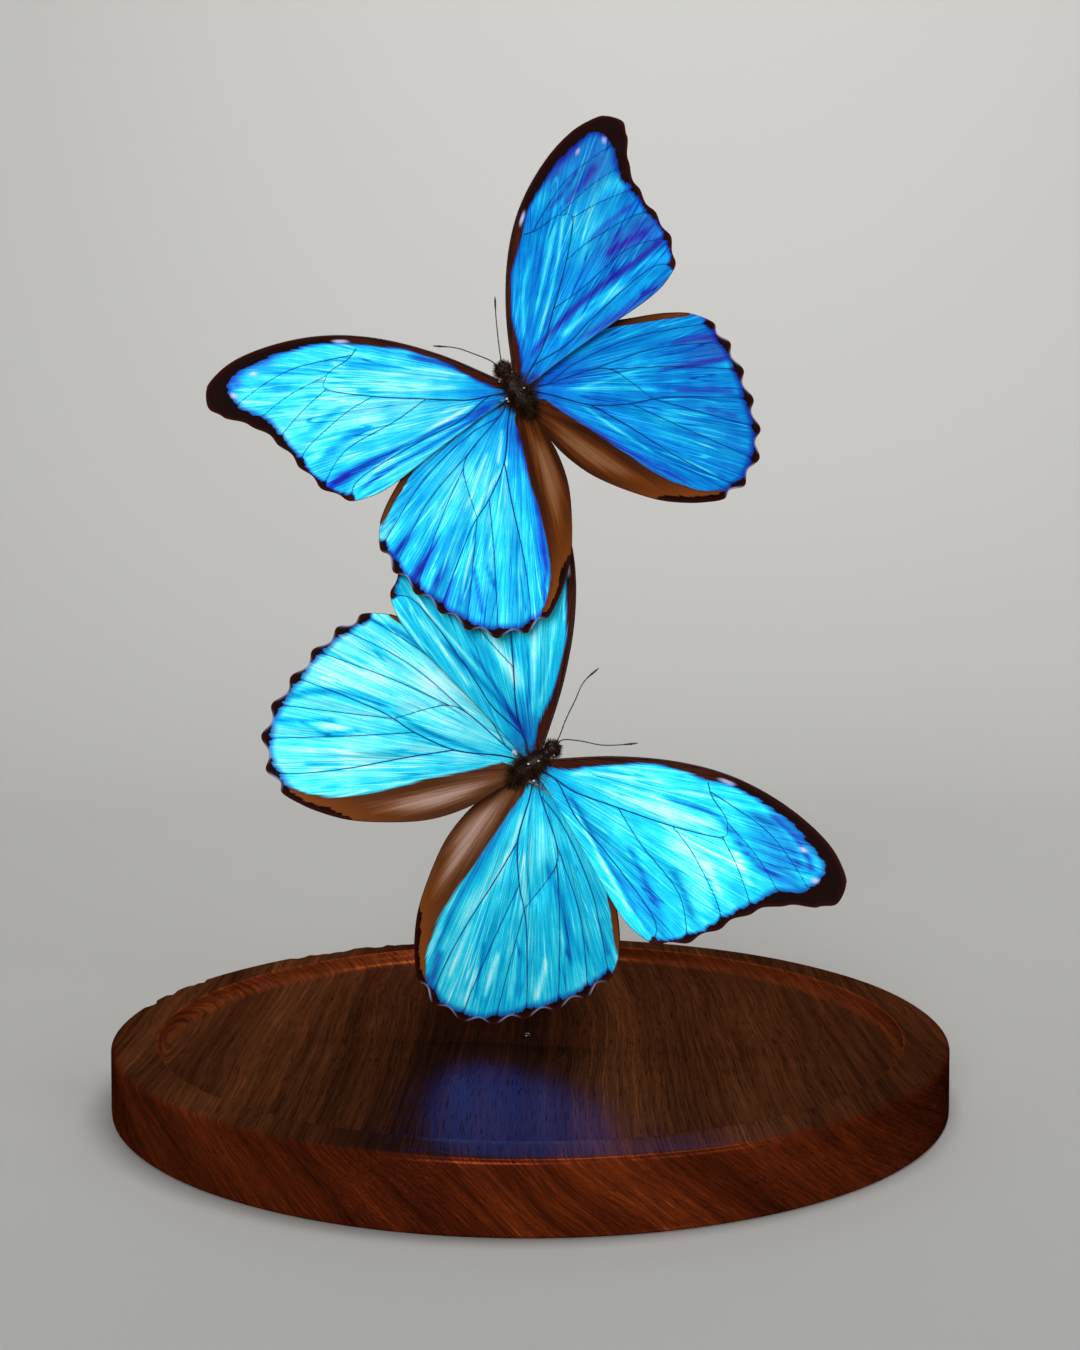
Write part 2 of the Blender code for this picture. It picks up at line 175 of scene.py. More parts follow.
# How light and how violet each wing is painted, standing in for how its blue scales catch the light
# at their angle: painted sheen and shade. Each wing has its overall painted light level, its soft
# patches of painted sheen and shade, and its creases of painted shade and highlight along the pleats.
# A patch is its place, half length, half width, turn in degrees, and how much paler and more violet
# the wing is there. A crease is its line, half width, and how much paler and more violet the wing is
# along it
WING_PAINTED_LIGHT = {
    ("upper", "left", "forewing"): (0.66, (
        (38, -3, 22, 8, -5, 0.12, 0.0), (64, 2, 8, 5, 10, -0.02, 0.1), (8, 0, 8, 4, 0, -0.2, 0.0),
        (42, -22.5, 7, 2.2, -32, -0.3, 0.1), (43.8, -5.7, 3.4, 1.0, -30, -0.25, 0.0),
        (47.6, -8.6, 3.2, 0.9, -36, -0.22, 0.0), (39.2, -11.4, 3.6, 1.1, -32, -0.25, 0.0),
        (45.3, -16.1, 3.4, 0.9, -42, -0.22, 0.0), (56.5, 1.5, 4.0, 0.9, -20, -0.2, 0.1),
        (36, 7.2, 10, 1.8, 2, -0.15, 0.0), (61, 7.4, 4.5, 1.2, -28, -0.12, 0.6),
        (69, 2.6, 2.4, 1.6, -60, -0.2, 0.7), (14, -8.5, 9, 1.2, -34, 0.1, 0.0),
    ), (
        (((1.4, -2.7), (20.9, -11.7), (33.6, -18.6), (41.2, -22.3), (46.2, -25.9)), 0.9, -0.42, 0.1),
        (((3.5, -4.8), (20.9, -15.4), (31.1, -21.2), (38.2, -27)), 0.6, -0.34, 0.15),
        (((6.5, -2.7), (23.5, -13), (33.6, -20.7)), 0.45, 0.3, 0.0),
        (((10.7, -5.4), (20, -10.2), (31.1, -16.6)), 0.5, 0.22, 0.0),
        (((12, 1.2), (23.4, 0.8), (41.3, 3.4)), 0.7, 0.16, 0.0),
        (((14, 3.6), (26, 4.6), (38, 6)), 0.4, 0.14, 0.0),
        (((2, 2.6), (12, 6.6), (24, 9.6)), 0.9, -0.3, 0.5),
    )),
    ("upper", "right", "forewing"): (0.4, (
        (25, 3.4, 17, 3.6, 6, -0.02, -0.2), (46, -2, 8, 6, -20, 0.24, 0.0), (61, -1, 12, 8, 0, 0.06, 0.6),
        (45, -16, 11, 4, -42, -0.08, 0.75), (57.7, -6.1, 5, 2, -35, 0.28, -0.3),
        (38, -4, 8, 3, -10, 0.12, 0.0), (62, 8, 8, 2.2, -18, -0.12, 0.8),
    ), (
        (((47.4, -24.8), (37.1, -18.1), (28, -11.1), (15.7, -4), (6.9, 0)), 0.8, -0.3, 0.8),
        (((61.7, -0.6), (55, 1.6), (48.7, 4.3)), 0.9, -0.2, 0.8),
        (((60, 3.4), (53, 5.2), (46, 8)), 0.5, -0.22, 0.6),
        (((35, -27.3), (23.7, -19.6), (13.5, -10.6)), 0.9, -0.1, 0.8),
        (((47, -19), (42, -14), (37.7, -10.4)), 0.7, -0.22, 0.7),
        (((53, -13), (46, -8), (40, -5)), 0.6, -0.22, 0.6),
        (((43.1, 4.6), (30, 3.6), (17.6, 2.6)), 0.6, 0.3, -0.3),
        (((45.4, 3.4), (30, 0.8), (10, -0.4)), 0.4, 0.3, -0.2),
        (((31.5, -18.6), (25, -13.5), (13, -5.6)), 0.9, 0.28, -0.2),
        (((40, -22), (30, -15.6), (22, -9.4)), 0.5, 0.2, 0.0),
        (((10, 3.4), (22, 7.2), (32, 8.6)), 0.6, 0.25, -0.2),
    )),
    ("upper", "left", "hindwing"): (0.56, (
        (26, 10, 10, 5, 25, 0.16, 0.0), (34, -2, 12, 5, 0, 0.12, 0.0), (38.1, 24, 6, 2.4, 30, 0.22, 0.0),
        (41.8, 20.4, 4.2, 1.1, 30, -0.4, 0.3), (48, 15.3, 4.6, 1.2, 20, -0.42, 0.4),
        (43, 13.2, 4.2, 1.0, 18, -0.3, 0.2), (48.6, 9.6, 4.5, 1.0, 14, -0.35, 0.3),
        (52, 2, 4, 8, 0, -0.1, 0.15), (8, -2, 7, 3, -20, -0.2, 0.1), (30, -12, 12, 2.4, -24, -0.12, 0.0),
    ), (
        (((41.6, -1.5), (47.7, -5.2)), 0.5, -0.3, 0.0), (((44, 1), (54.7, -3.2)), 0.45, -0.35, 0.1),
        (((42.1, -17.1), (49, -18.1)), 0.6, -0.35, 0.2), (((13.2, 3.6), (29, 6.2)), 0.5, 0.26, 0.0),
        (((6.1, 0.9), (15.5, 0.4)), 0.5, 0.35, 0.0), (((14, -2), (24, 2), (31, 4)), 0.5, 0.25, 0.0),
        (((46, 6), (56, 7)), 0.4, -0.3, 0.2), (((45, 11), (54, 12)), 0.4, 0.25, 0.0),
        (((5, -2.6), (16, -7.6), (28, -13), (42, -17.8)), 0.7, -0.32, 0.2),
    )),
    ("upper", "right", "hindwing"): (0.39, (
        (24, 10, 10, 4, 20, 0.12, 0.0), (35, -3, 12, 4, -6, 0.12, 0.0),
        (50, 15.7, 3.2, 1.2, 15, 0.24, -0.4),
        (46, 20, 8, 4, 25, -0.08, 0.7), (46, 2, 8, 8, 0, 0.03, 0.1), (11.5, 6.5, 6, 2.4, 30, -0.14, 0.1),
        (19.2, 0.5, 8, 1.8, 0, -0.12, 0.0), (52, -8, 5, 6, 0, 0.06, 0.1),
    ), (
        (((47, 22.4), (40, 20.8), (33, 18)), 0.8, -0.15, 0.8),
        (((50, 17.6), (38.1, 13.1), (31.4, 11.2)), 0.7, -0.2, 0.85),
        (((51, 8.4), (44, 7.6), (36, 6)), 0.7, -0.15, 0.6), (((53, 2), (44, 3)), 0.5, -0.15, 0.4),
        (((8, 2), (22, 4.4), (32, 5.6)), 0.5, 0.22, 0.0),
        (((13.1, -2), (22.3, -6.6), (32, -11)), 0.4, 0.3, 0.0),
        (((12, 3), (20, 7), (30, 12)), 0.5, 0.2, 0.0), (((34, 0), (46, 1)), 0.5, 0.16, 0.0),
        (((5, -2), (16, -7.4), (28, -12.6), (42, -17.4)), 0.7, -0.2, 0.3),
    )),
    ("lower", "left", "forewing"): (0.58, (
        (21.1, -3.4, 8, 1.8, -24, 0.4, 0.0), (16, 3.6, 10, 1.6, 14, -0.16, 0.1),
        (6, -1, 6, 3.4, 0, -0.3, 0.1),
        (30, 7, 14, 2.6, 12, 0.12, 0.0), (24.5, -8.4, 8, 1.6, -32, -0.16, 0.0),
    ), (
        (((27.6, -17.8), (14.7, -7.7), (5.2, -1.4)), 0.6, -0.3, 0.0),
        (((24, -10.8), (12, -4.6), (4, -1)), 0.5, -0.35, 0.1),
        (((33.8, -23), (24, -16.8), (16.1, -12.1)), 0.6, 0.3, 0.0),
        (((28, 4), (18, 3), (8, 1.8)), 0.7, 0.28, 0.0), (((30, 9.4), (20, 7), (10, 3.6)), 0.5, 0.2, 0.0),
        (((24, 2.2), (10, 1)), 0.5, -0.3, 0.0), (((40, -24), (30, -17), (20, -10)), 0.4, 0.3, 0.0),
    )),
    ("lower", "right", "forewing"): (0.6, (
        (28, 2.4, 15, 2.6, 4, 0.2, 0.0), (30, 8, 14, 2, 2, 0.12, 0.0), (40.4, -6, 8, 3.4, -30, 0.3, 0.0),
        (56, 4.6, 9, 3, -22, -0.26, 0.1), (62, -2.6, 7, 3, -34, -0.24, 0.2),
        (35, -20, 10, 4, -36, -0.24, 0.0),
        (14, -8, 10, 2, -36, -0.12, 0.0), (50, -4, 4, 2.4, -40, 0.2, 0.0),
    ), (
        (((29.1, 4.8), (42.7, 4.7), (53.9, -1.3), (60.6, -3)), 0.8, -0.36, 0.1),
        (((50, 9), (58, 6.4), (66, 0)), 0.6, -0.24, 0.1),
        (((54, 10.4), (62, 7), (68.6, 1.4)), 0.8, -0.4, 0.35),
        (((25.6, -9.5), (31, -14.4), (37.2, -20)), 0.7, -0.3, 0.0),
        (((37.5, -10.9), (42, -15), (46, -19.5)), 0.6, -0.3, 0.1),
        (((15.1, 1.3), (30, 1.2), (43.7, 2.8)), 0.8, 0.16, 0.0),
        (((49.6, -1), (55.9, -7.6)), 0.5, 0.35, 0.0),
        (((44, -6), (50, -12)), 0.5, 0.3, 0.0), (((46, -9), (51, -16)), 0.5, -0.25, 0.0),
        (((8, -3.4), (20, -13), (33, -23)), 0.6, -0.25, 0.0),
        (((10, -6), (22, -16), (32, -24)), 0.5, 0.3, 0.0),
        (((6, 1.8), (16, 5.2), (28, 8)), 0.5, 0.24, 0.0),
    )),
    ("lower", "left", "hindwing"): (0.74, (
        (42, 11.6, 12, 3.4, 5, 0.16, 0.0), (22.2, 12, 11, 4.4, 25, 0.14, 0.0),
        (40, -9, 12, 4, -10, 0.05, 0.0),
        (16, 0, 10, 1.6, 0, -0.12, 0.0),
    ), (
        (((56, 2.6), (50, 5.2), (43, 6.4), (32.6, 5.4)), 0.8, -0.42, 0.05),
        (((58, -3.6), (50.6, -2.2), (43.8, -0.6)), 0.6, -0.38, 0.0),
        (((45.9, -4.3), (37.2, -1.6)), 0.5, -0.34, 0.0), (((52, -2.6), (44, -4.6)), 0.4, -0.25, 0.0),
        (((42, 25), (34, 23.4), (27.4, 20.6)), 0.5, -0.34, 0.1), (((50, 15.4), (40, 12.6)), 0.4, -0.2, 0.0),
        (((32, 4.6), (20, 1.2), (8, -0.4)), 0.5, -0.3, 0.0), (((48, -12), (40, -11.4)), 0.8, -0.16, 0.0),
        (((6, -2.2), (18, -7.4), (30, -12.4), (44, -16.6)), 0.6, -0.14, 0.0),
    )),
    ("lower", "right", "hindwing"): (0.6, (
        (48, -10, 8, 4, 0, 0.12, 0.0), (22, 2, 12, 1.4, 6, 0.2, 0.0), (28, -8, 14, 1.6, -22, 0.18, 0.0),
        (26, 12, 12, 3, 28, -0.05, 0.0), (40, -2, 9, 5, 0, -0.06, 0.0), (12, 4, 6, 3, 30, 0.12, 0.0),
    ), (
        (((18.6, 6.5), (30.8, 13), (41.7, 16.2)), 0.8, -0.24, 0.0),
        (((44, -15.6), (52, -16.6)), 1.0, -0.3, 0.5), (((29.3, 21), (38, 24.6)), 0.7, -0.3, 0.1),
        (((53.1, -3.2), (42, -1.6)), 0.6, 0.34, 0.0), (((41.3, 10), (51.4, 9.4)), 0.6, 0.36, 0.0),
        (((47, -6.2), (56, -8)), 0.5, 0.3, 0.0), (((36, -9), (50, -12.6)), 0.5, 0.28, 0.0),
        (((40, 3.6), (52, 4.4)), 0.5, -0.25, 0.0), (((40, -5.4), (54, -5.4)), 0.4, -0.28, 0.0),
        (((5, -2.4), (18, -8), (30, -12.8), (44, -17)), 0.9, -0.26, 0.1),
        (((6, 0.4), (18, 1.6), (30, 4.4)), 0.4, -0.28, 0.0),
        (((8, -1), (20, -3.4), (32, -8)), 0.5, 0.22, 0.0),
    )),
}

# The blues that each wing's painted light level picks from
SCALE_COLOURS = {  # from the deepest to the palest scales
    "upper": ("#0A1C8E", "#0648BE", "#0678D2", "#08A2EA", "#28CEF8", "#76E6FA", "#B8F4FC"),
    "lower": ("#062E90", "#0662B4", "#088CCA", "#0AB0DE", "#26D2EE", "#74EAF9", "#BEF7FC"),
}
RAMP_PLACES = (0.0, 0.18, 0.34, 0.5, 0.66, 0.83, 1.0)
# The fold's soft light colour is painted light on its curve
FOLD_COLOURS = {  # the bare fold along each insect's body: dark lines, ground and soft light
    "upper": ("#341404", "#5E2C0A", "#8C6040"),
    "lower": ("#4C2A16", "#744A30", "#B29284"),
}
DEEP_COLOURS = {"upper": "#0E1C9E", "lower": "#0A3A9E"}  # the deep blue beside the dark border

# Marks in the wing scales, partly their own texture and partly painted light and shade along the
# pleats: the UV map they follow, how many there are to the mm across, along and through, their
# detail, roughness and shift. In turn: broad streaks 3 mm wide, fine ones of 0.7 mm, silky ones of
# 0.2 mm, long dark and light lines 2 mm apart, rows of scales, far finer in life but drawn 0.3 mm
# apart so that they show, and a soft mottle of 8 mm
WING_GRAINS = (
    ("streak", (0.33, 0.025, 1.0), 3.0, 0.6),
    ("streak", (1.5, 0.05, 1.0), 3.0, 0.65, (31.0, 5.0, 0.0)),
    ("streak", (4.5, 0.12, 1.0), 2.0, 0.6, (7.0, 2.0, 0.0)),
    ("streak", (0.5, 0.02, 1.0), 1.0, 0.4, (3.0, 9.0, 0.0)),
    ("streak", (0.42, 0.018, 1.0), 1.0, 0.4, (57.0, 4.0, 0.0)),
    ("plan", (3.4, 3.4, 3.4), 2.0, 0.6),
    ("plan", (0.13, 0.13, 1.0), 3.0, 0.5),
)
UNDERSIDE_BANDS = ((0.0, 0.1), (0.1, 0.0), (0.16, 0.7), (0.2, 0.05), (0.3, 0.0), (0.36, 0.45),
                   (0.42, 0.0), (0.9, 0.0))
EYESPOT_RINGS = ((0.0, "#F2E9DC"), (0.12, "#0D0908"), (0.5, "#15100E"), (0.58, "#C89A4A"),
                 (0.76, "#B98536"), (0.84, "#2B190F"), (1.0, "#4E3220"))

# The base's cove at the foot of the recess wall, softened edges and lip in mm, its steps round, the
# width of its worn rim in mm, and its chips: the range of degrees that they lie in, half their width
# in radians and their depth in mm
COVE = 3.0
SOFT_EDGE = 1.1
LIP = 0.5
BASE_STEPS = 288
WORN_BAND = 3.5
CHIP_SIDES = (75, 175)
CHIP_WIDTHS = (0.015, 0.035)
CHIP_DEPTHS = (0.4, 1.1)

# Wood grain to the mm across, along and up, with its detail and roughness: slow tones 20 mm wide,
# bands of 2 mm, fibres of 0.5 mm and pores of 0.3 mm. Then its tones on top and round the side; the
# side's redder, lighter tones are partly the wood's own and partly painted light
WOOD_GRAINS = (
    ((0.05, 0.002, 0.02), 2.0, 0.5),
    ((0.5, 0.005, 0.05), 3.0, 0.6),
    ((2.2, 0.035, 0.3), 3.0, 0.65),
    ((3.2, 0.12, 1.2), 1.0, 0.5),
)
WOOD_TOP = ((0.05, "#24110A"), (0.35, "#4C2713"), (0.65, "#6C3C20"), (1.0, "#9E6034"))
WOOD_SIDE_WITH_PAINTED_LIGHT = ((0.05, "#240904"), (0.45, "#511E0B"), (0.75, "#763012"), (1.0, "#C06C32"))

# Plain looks: roughness, gloss, grains to the metre, their detail, where the grain turns from the
# first colour to the second, both colours, and any relief (strength, mm). The grains are 0.4 to
# 2.5 mm, coarser than in life so that they show
PLAIN_LOOKS = {
    # The short fringe scales along a wing's edge: dark brown, matt
    "brown fringe scales": (0.7, 0.5, 900.0, 2.0, (0.35, 0.65), "#150403", "#43180A"),
    # Wing veins, thin dried chitin tubes: dark blue-black, slightly glossy
    "dark wing vein chitin": (0.6, 0.08, 400.0, 2.0, (0.35, 0.65), "#03205E", "#063C88"),
    # The wing's leading edge, a stout chitin rib: brown, half glossy
    "brown leading edge chitin": (0.5, 0.2, 700.0, 3.0, (0.35, 0.65), "#1C0804", "#3C160B"),
    # A set bead of glue: dark, smooth and glossy
    "dark set glue": (0.18, 0.5, 900.0, 2.0, (0.35, 0.65), "#120B07", "#2A1A10"),
    # A pinch of loose scales caught in the hair: chalky lilac-white, matt
    "pale loose scales": (0.8, 0.5, 2500.0, 2.0, (0.35, 0.65), "#9A8C96", "#E4DAE6"),
    # The hard skin under the hair, chitin: near black, dull and uneven
    "black body chitin": (0.5, 0.5, 900.0, 3.0, (0.35, 0.65), "#0A0604", "#22140C", (0.6, 0.3)),
    # Antennae, ringed chitin: dark brown, slightly glossy
    "ringed antenna chitin": (0.45, 0.5, 1500.0, 1.0, (0.4, 0.6), "#140C08", "#33231A"),
    # A dried leg, thin chitin: straw-coloured with darker joints
    "pale dried leg chitin": (0.5, 0.5, 500.0, 2.0, (0.4, 0.65), "#A2968C", "#4A3A32"),
}

# Each body's radius and place along it in mm, from the head to the tail
BODY_PROFILE = (
    (0.9, 8.0), (1.7, 7.2), (1.8, 6.2), (1.3, 5.0), (2.2, 3.6), (2.8, 1.2),
    (2.7, -1.6), (2.1, -4.0), (1.5, -5.6), (0.8, -7.0),
)

# Where an eye sits beside the head's line and its three widths, and each palp's path and radii in mm
EYE_SPOT = (1.25, -0.35, 6.7)
EYE_SHAPE = (0.8, 1.0, 1.15)
PALP_PATH = ((0.5, 0.4, 7.4), (0.7, 0.5, 8.3), (0.85, 0.2, 9.0))
PALP_RADII = (0.32, 0.36, 0.12)

# Hairs on the bodies and over the wings' roots, in mm, and how far a hair bends in its own length
BODY_HAIR_WIDTH = 0.08
BODY_HAIR_LENGTHS = (1.3, 3.2)
ROOT_HAIR_WIDTH = 0.07
ROOT_HAIR_LENGTHS = (1.0, 2.8)
HAIR_BEND = 0.22

PALE_FLECKS = {  # places from the thorax and radii, in mm, of small pale flecks
    "upper": ((-2.6, -3.6, -1.9, 0.36), (-2.2, -3.4, -2.5, 0.24), (-4.4, -2.0, 2.4, 0.22),
              (1.5, -4.0, 0.6, 0.26)),
    "lower": ((1.8, -4.6, 1.4, 0.3), (-0.6, -4.6, 0.7, 0.32), (0.7, -4.4, -3.4, 0.34),
              (-4.0, -2.6, 3.4, 0.62), (-3.6, -2.7, 2.9, 0.42), (5.6, -2.2, 2.5, 0.24)),
}

# The antennae and the leg: whose they are, and their paths from the thorax in mm
FEELERS = {
    "upper_left_antenna": ("upper", ((-3.7, -0.8, 4.8), (-4.3, -2.3, 5.4), (-6.4, -3.3, 7.1),
                                     (-10.4, -4.3, 8.6), (-14.6, -4.9, 9.9), (-20.0, -5.3, 10.3))),
    "upper_right_antenna": ("upper", ((-3.5, -0.8, 5.2), (-3.8, -2.3, 6.2), (-4.3, -2.4, 9.5),
                                      (-4.7, -2.5, 12.7), (-5.2, -2.7, 17.8), (-5.4, -2.9, 22.3))),
    "lower_left_antenna": ("lower", ((5.6, -0.8, 4.9), (6.8, -1.7, 6.9), (8.4, -1.9, 11.1),
                                     (10.6, -2.3, 15.7), (12.7, -2.6, 20.2), (16.3, -2.8, 23.6))),
    "lower_right_antenna": ("lower", ((6.0, -0.8, 4.5), (7.6, -1.6, 6.2), (11.8, -1.9, 6.0),
                                      (16.8, -2.9, 5.1), (21.3, -3.9, 5.2), (25.6, -4.8, 5.7))),
    "lower_leg": ("lower", ((-0.5, -3.6, -3.5), (1.7, -4.7, -4.6), (4.8, -4.9, -6.7))),
}
ANTENNA_RADII = ((0, 0.03, 0.06, 0.82, 0.93, 1.0), (0.24, 0.24, 0.15, 0.13, 0.27, 0.1))
ANTENNA_RINGING = 0.12
LEG_RADII = ((0, 0.3, 0.42, 0.55, 1.0), (0.34, 0.26, 0.34, 0.22, 0.12))

# Soft lights: place, what they face, their size, and the setting that holds their power. Then the
# air's colour
SOFTBOXES = (
    ("front softbox", (-0.7, -3.3, 1.05), (0.0, 0.0, 0.12), 1.6, "front_power"),
    ("right softbox", (2.4, -2.8, 0.9), (0.0, 0.0, 0.1), 1.6, "side_power"),
    ("backdrop softbox", (0.25, 0.3, 1.9), (0.1, 1.7, 0.5), 1.2, "wall_power"),
)
AIR_COLOUR = "#E8ECF2"
SWEEP_WIDTH = 8.0
SWEEP_BEND = 1.2

# Settings that many nodes share: a soft range, a mix of colours and a product
SMOOTH = {"interpolation_type": "SMOOTHSTEP"}
MIXED = {"data_type": "RGBA"}
TIMES = {"operation": "MULTIPLY"}
UV_MM = 100.0  # a UV map's unit in mm


def linear(text):
    """Return an sRGB hex colour as linear values."""
    parts = [int(text[i:i + 2], 16) / 255.0 for i in (1, 3, 5)]
    return (*[c / 12.92 if c <= 0.04045 else ((c + 0.055) / 1.055) ** 2.4 for c in parts], 1.0)


def feed(node, inputs):
    """Set or link a node's inputs, each by its name or place. A hex colour is made linear."""
    for name, value in inputs.items():
        if isinstance(value, bpy.types.NodeSocket):
            node.id_data.links.new(value, node.inputs[name])
        elif value is not None:
            node.inputs[name].default_value = linear(value) if isinstance(value, str) else value


def add(tree, kind, *inputs, stops=(), out=None, **settings):
    """Add a node with its settings, its ramp's stops and its open inputs in order, and return an output."""
    made = tree.nodes.new("ShaderNode" + kind)
    for name, value in settings.items():
        setattr(made, name, value)
    for _ in stops[2:]:
        made.color_ramp.elements.new(0.5)
    for i, (place, colour) in enumerate(stops):
        element = made.color_ramp.elements[i]
        element.position = place
        element.color = linear(colour) if isinstance(colour, str) else (colour,) * 3 + (1.0,)
    feed(made, dict(zip([i for i, socket in enumerate(made.inputs) if socket.enabled], inputs)))
    return made.outputs[out] if out else next(socket for socket in made.outputs if socket.enabled)


def new_look(name):
    """Return an empty Principled material and the function that adds a node to it."""
    made = bpy.data.materials.new(name)
    made.use_nodes = True
    return made, partial(add, made.node_tree)


def finished(made, surface, relief=None):
    """Set a material's surface, raised by a pattern with its height, strength and depth in mm."""
    if relief:
        height, strength, depth = relief
        bump = add(made.node_tree, "Bump", strength, depth * MM, None, height)
        surface = surface | {"Normal": bump}
    feed(made.node_tree.nodes["Principled BSDF"], surface)
    return made


def grain(node, place, scale, detail=2.0, rough=0.5, shift=(0, 0, 0)):
    """Return a pattern of marks on a place whose axes are scaled one by one."""
    return node("TexNoise", node("Mapping", place, shift, None, scale), 1.0, detail, rough)


def swayed(node, base, pattern, low, high, down, up, **settings):
    """Return a value moved by what a pattern gives between its low and its high."""
    return node("Math", base, node("MapRange", pattern, low, high, down, up, **settings))


def turned(node, first, second, pattern, low, high, start=0.0, end=1.0):
    """Return one colour turning to another as a pattern goes from low to high."""
    share = node("MapRange", pattern, low, high, start, end, **SMOOTH)
    return node("Mix", share, first, second, **MIXED)


def product(node, *ranges):
    """Return two values multiplied, each taken smoothly from one range to another."""
    return node("Math", *(node("MapRange", *values, **SMOOTH) for values in ranges), **TIMES)


def uv_places(node):
    """Return both UV maps' places in mm."""
    return {name: node("VectorMath", node("UVMap", uv_map=name), UV_MM, operation="SCALE")
            for name in ("streak", "plan")}


def wing_scales(insect):
    """Morpho wing scales: overlapping blue structural scales on a brown-edged membrane.

    Satin, with fine rows of scales, long streaks that are partly the scales' own texture and partly
    painted light and shade along the pleats, and a velvety near-black border. How pale and how violet
    the blue is comes from each wing's painted light and sheen.
    """
    made, node = new_look(insect + " blue wing scales")
    uv = uv_places(node)
    broad, fine, silk, dark_run, light_run, rows, mottle = (
        grain(node, uv[name], *values) for name, *values in WING_GRAINS)
    tone, violet, gap, ragged, edge, reach, fold, pale = (
        node("Attribute", out="Fac", attribute_name=name)
        for name in ("tone", "violet", "vein_gap", "border", "edge", "reach", "fold", "pale"))

    # The wing's painted light level, swayed by the streaks, rows, mottle and lines
    for pattern, low, high, sway in ((broad, 0.3, 0.7, 0.09), (fine, 0.32, 0.68, 0.12),
                                     (silk, 0.3, 0.7, 0.09), (mottle, 0.3, 0.7, 0.07),
                                     (rows, 0.25, 0.75, 0.06)):
        tone = swayed(node, tone, pattern, low, high, -sway, sway)
    for run, depth, gate in ((dark_run, -0.3, (0.42, 0.6)), (light_run, 0.26, (0.56, 0.42))):
        off = node("Math", node("Math", run, 0.5, operation="SUBTRACT"), operation="ABSOLUTE")
        tone = node("Math", tone, product(node, (off, 0.0, 0.022, depth, 0.0), (broad, *gate)))
    # The painted light level picks a blue from deep to pale, and the painted violet sheen is mixed in
    blue = node("ValToRGB", tone, stops=list(zip(RAMP_PLACES, SCALE_COLOURS[insect])))
    patchy = node("MapRange", fine, 0.38, 0.58, 0.25, 1.0, **SMOOTH)
    violet = node("Math", node("Math", violet, patchy, **TIMES), 0.8, use_clamp=True, **TIMES)
    blue = node("Mix", violet, blue, "#3B26A4", **MIXED)
    blue = turned(node, blue, "#053C96", gap, 0.0, 0.5, 0.45, 0.0)

    for pattern in (broad, fine):
        ragged = swayed(node, ragged, pattern, 0.3, 0.7, -0.3, 0.3, **SMOOTH)
    spread = node("Math", ragged, node("MapRange", reach, 0.5, 0.85, 2.0, 0.75, **SMOOTH), **TIMES)
    deep = turned(node, blue, DEEP_COLOURS[insect], spread, -1.5, -0.05, 0.0, 0.85)
    border_tone = turned(node, "#120302", "#240703", rows, 0.4, 0.75)
    border_tone = turned(node, border_tone, "#3E0E06", edge, 0.2, 1.2, 0.5, 0.0)
    rib_tone = turned(node, "#260C05", "#4A1E10", fine, 0.35, 0.65)
    border_tone = turned(node, border_tone, rib_tone, reach, 0.45, 0.62, 1.0, 0.0)

    dark, ground, light = FOLD_COLOURS[insect]
    fold = swayed(node, fold, fine, 0.3, 0.7, -0.25, 0.25, **SMOOTH)
    # Painted light and shade on the fold's curve: lighter deep in the fold, away from the wing's edge and
    # towards the root, swayed by the streaks
    fold_painted_light = product(node, (fold, 0.3, 6.0), (edge, 0.3, 5.0))
    fold_painted_light = swayed(node, fold_painted_light, broad, 0.3, 0.7, -0.2, 0.2)
    fold_painted_light = swayed(node, fold_painted_light, fine, 0.3, 0.7, -0.1, 0.1)
    fold_painted_light = swayed(node, fold_painted_light, reach, 0.15, 0.75, 0.0, -0.35, **SMOOTH)
    fold_tone = node("ValToRGB", fold_painted_light, stops=((0.0, dark), (0.35, ground), (0.9, light)))
    outward = product(node, (reach, 0.2, 0.8, 0.0, 0.75), (edge, 0.5, 7.0, 1.0, 0.3))
    fold_tone = node("Mix", outward, fold_tone, "#8E4A16", **MIXED)
    fold_tone = turned(node, fold_tone, dark, fold, 0.0, 0.8, 0.7, 0.0)
    is_fold = node("MapRange", fold, -0.25, 0.35, **SMOOTH)
    is_border = node("MapRange", ragged, -0.12, 0.16, **SMOOTH)
    colour = node("Mix", is_fold, deep, fold_tone, **MIXED)
    colour = node("Mix", is_border, colour, border_tone, **MIXED)
    colour = turned(node, colour, "#3A1208", edge, 0.05, 0.3, 0.7, 0.0)

    dull = node("Math", is_border, is_fold, operation="MAXIMUM")
    height = fine
    for pattern, share in ((rows, 0.25), (mottle, 0.5)):
        height = node("Math", height, node("Math", pattern, share, **TIMES))
    return finished(made, {
        "Base Color": node("Mix", pale, colour, "#B8BCE4", **MIXED),
        "Roughness": node("MapRange", dull, 0.0, 1.0, 0.4, 0.6),
        "Metallic": node("MapRange", dull, 0.0, 1.0, 0.25, 0.0),
        "Specular IOR Level": 0.04,
    }, (height, 0.5, 0.22))


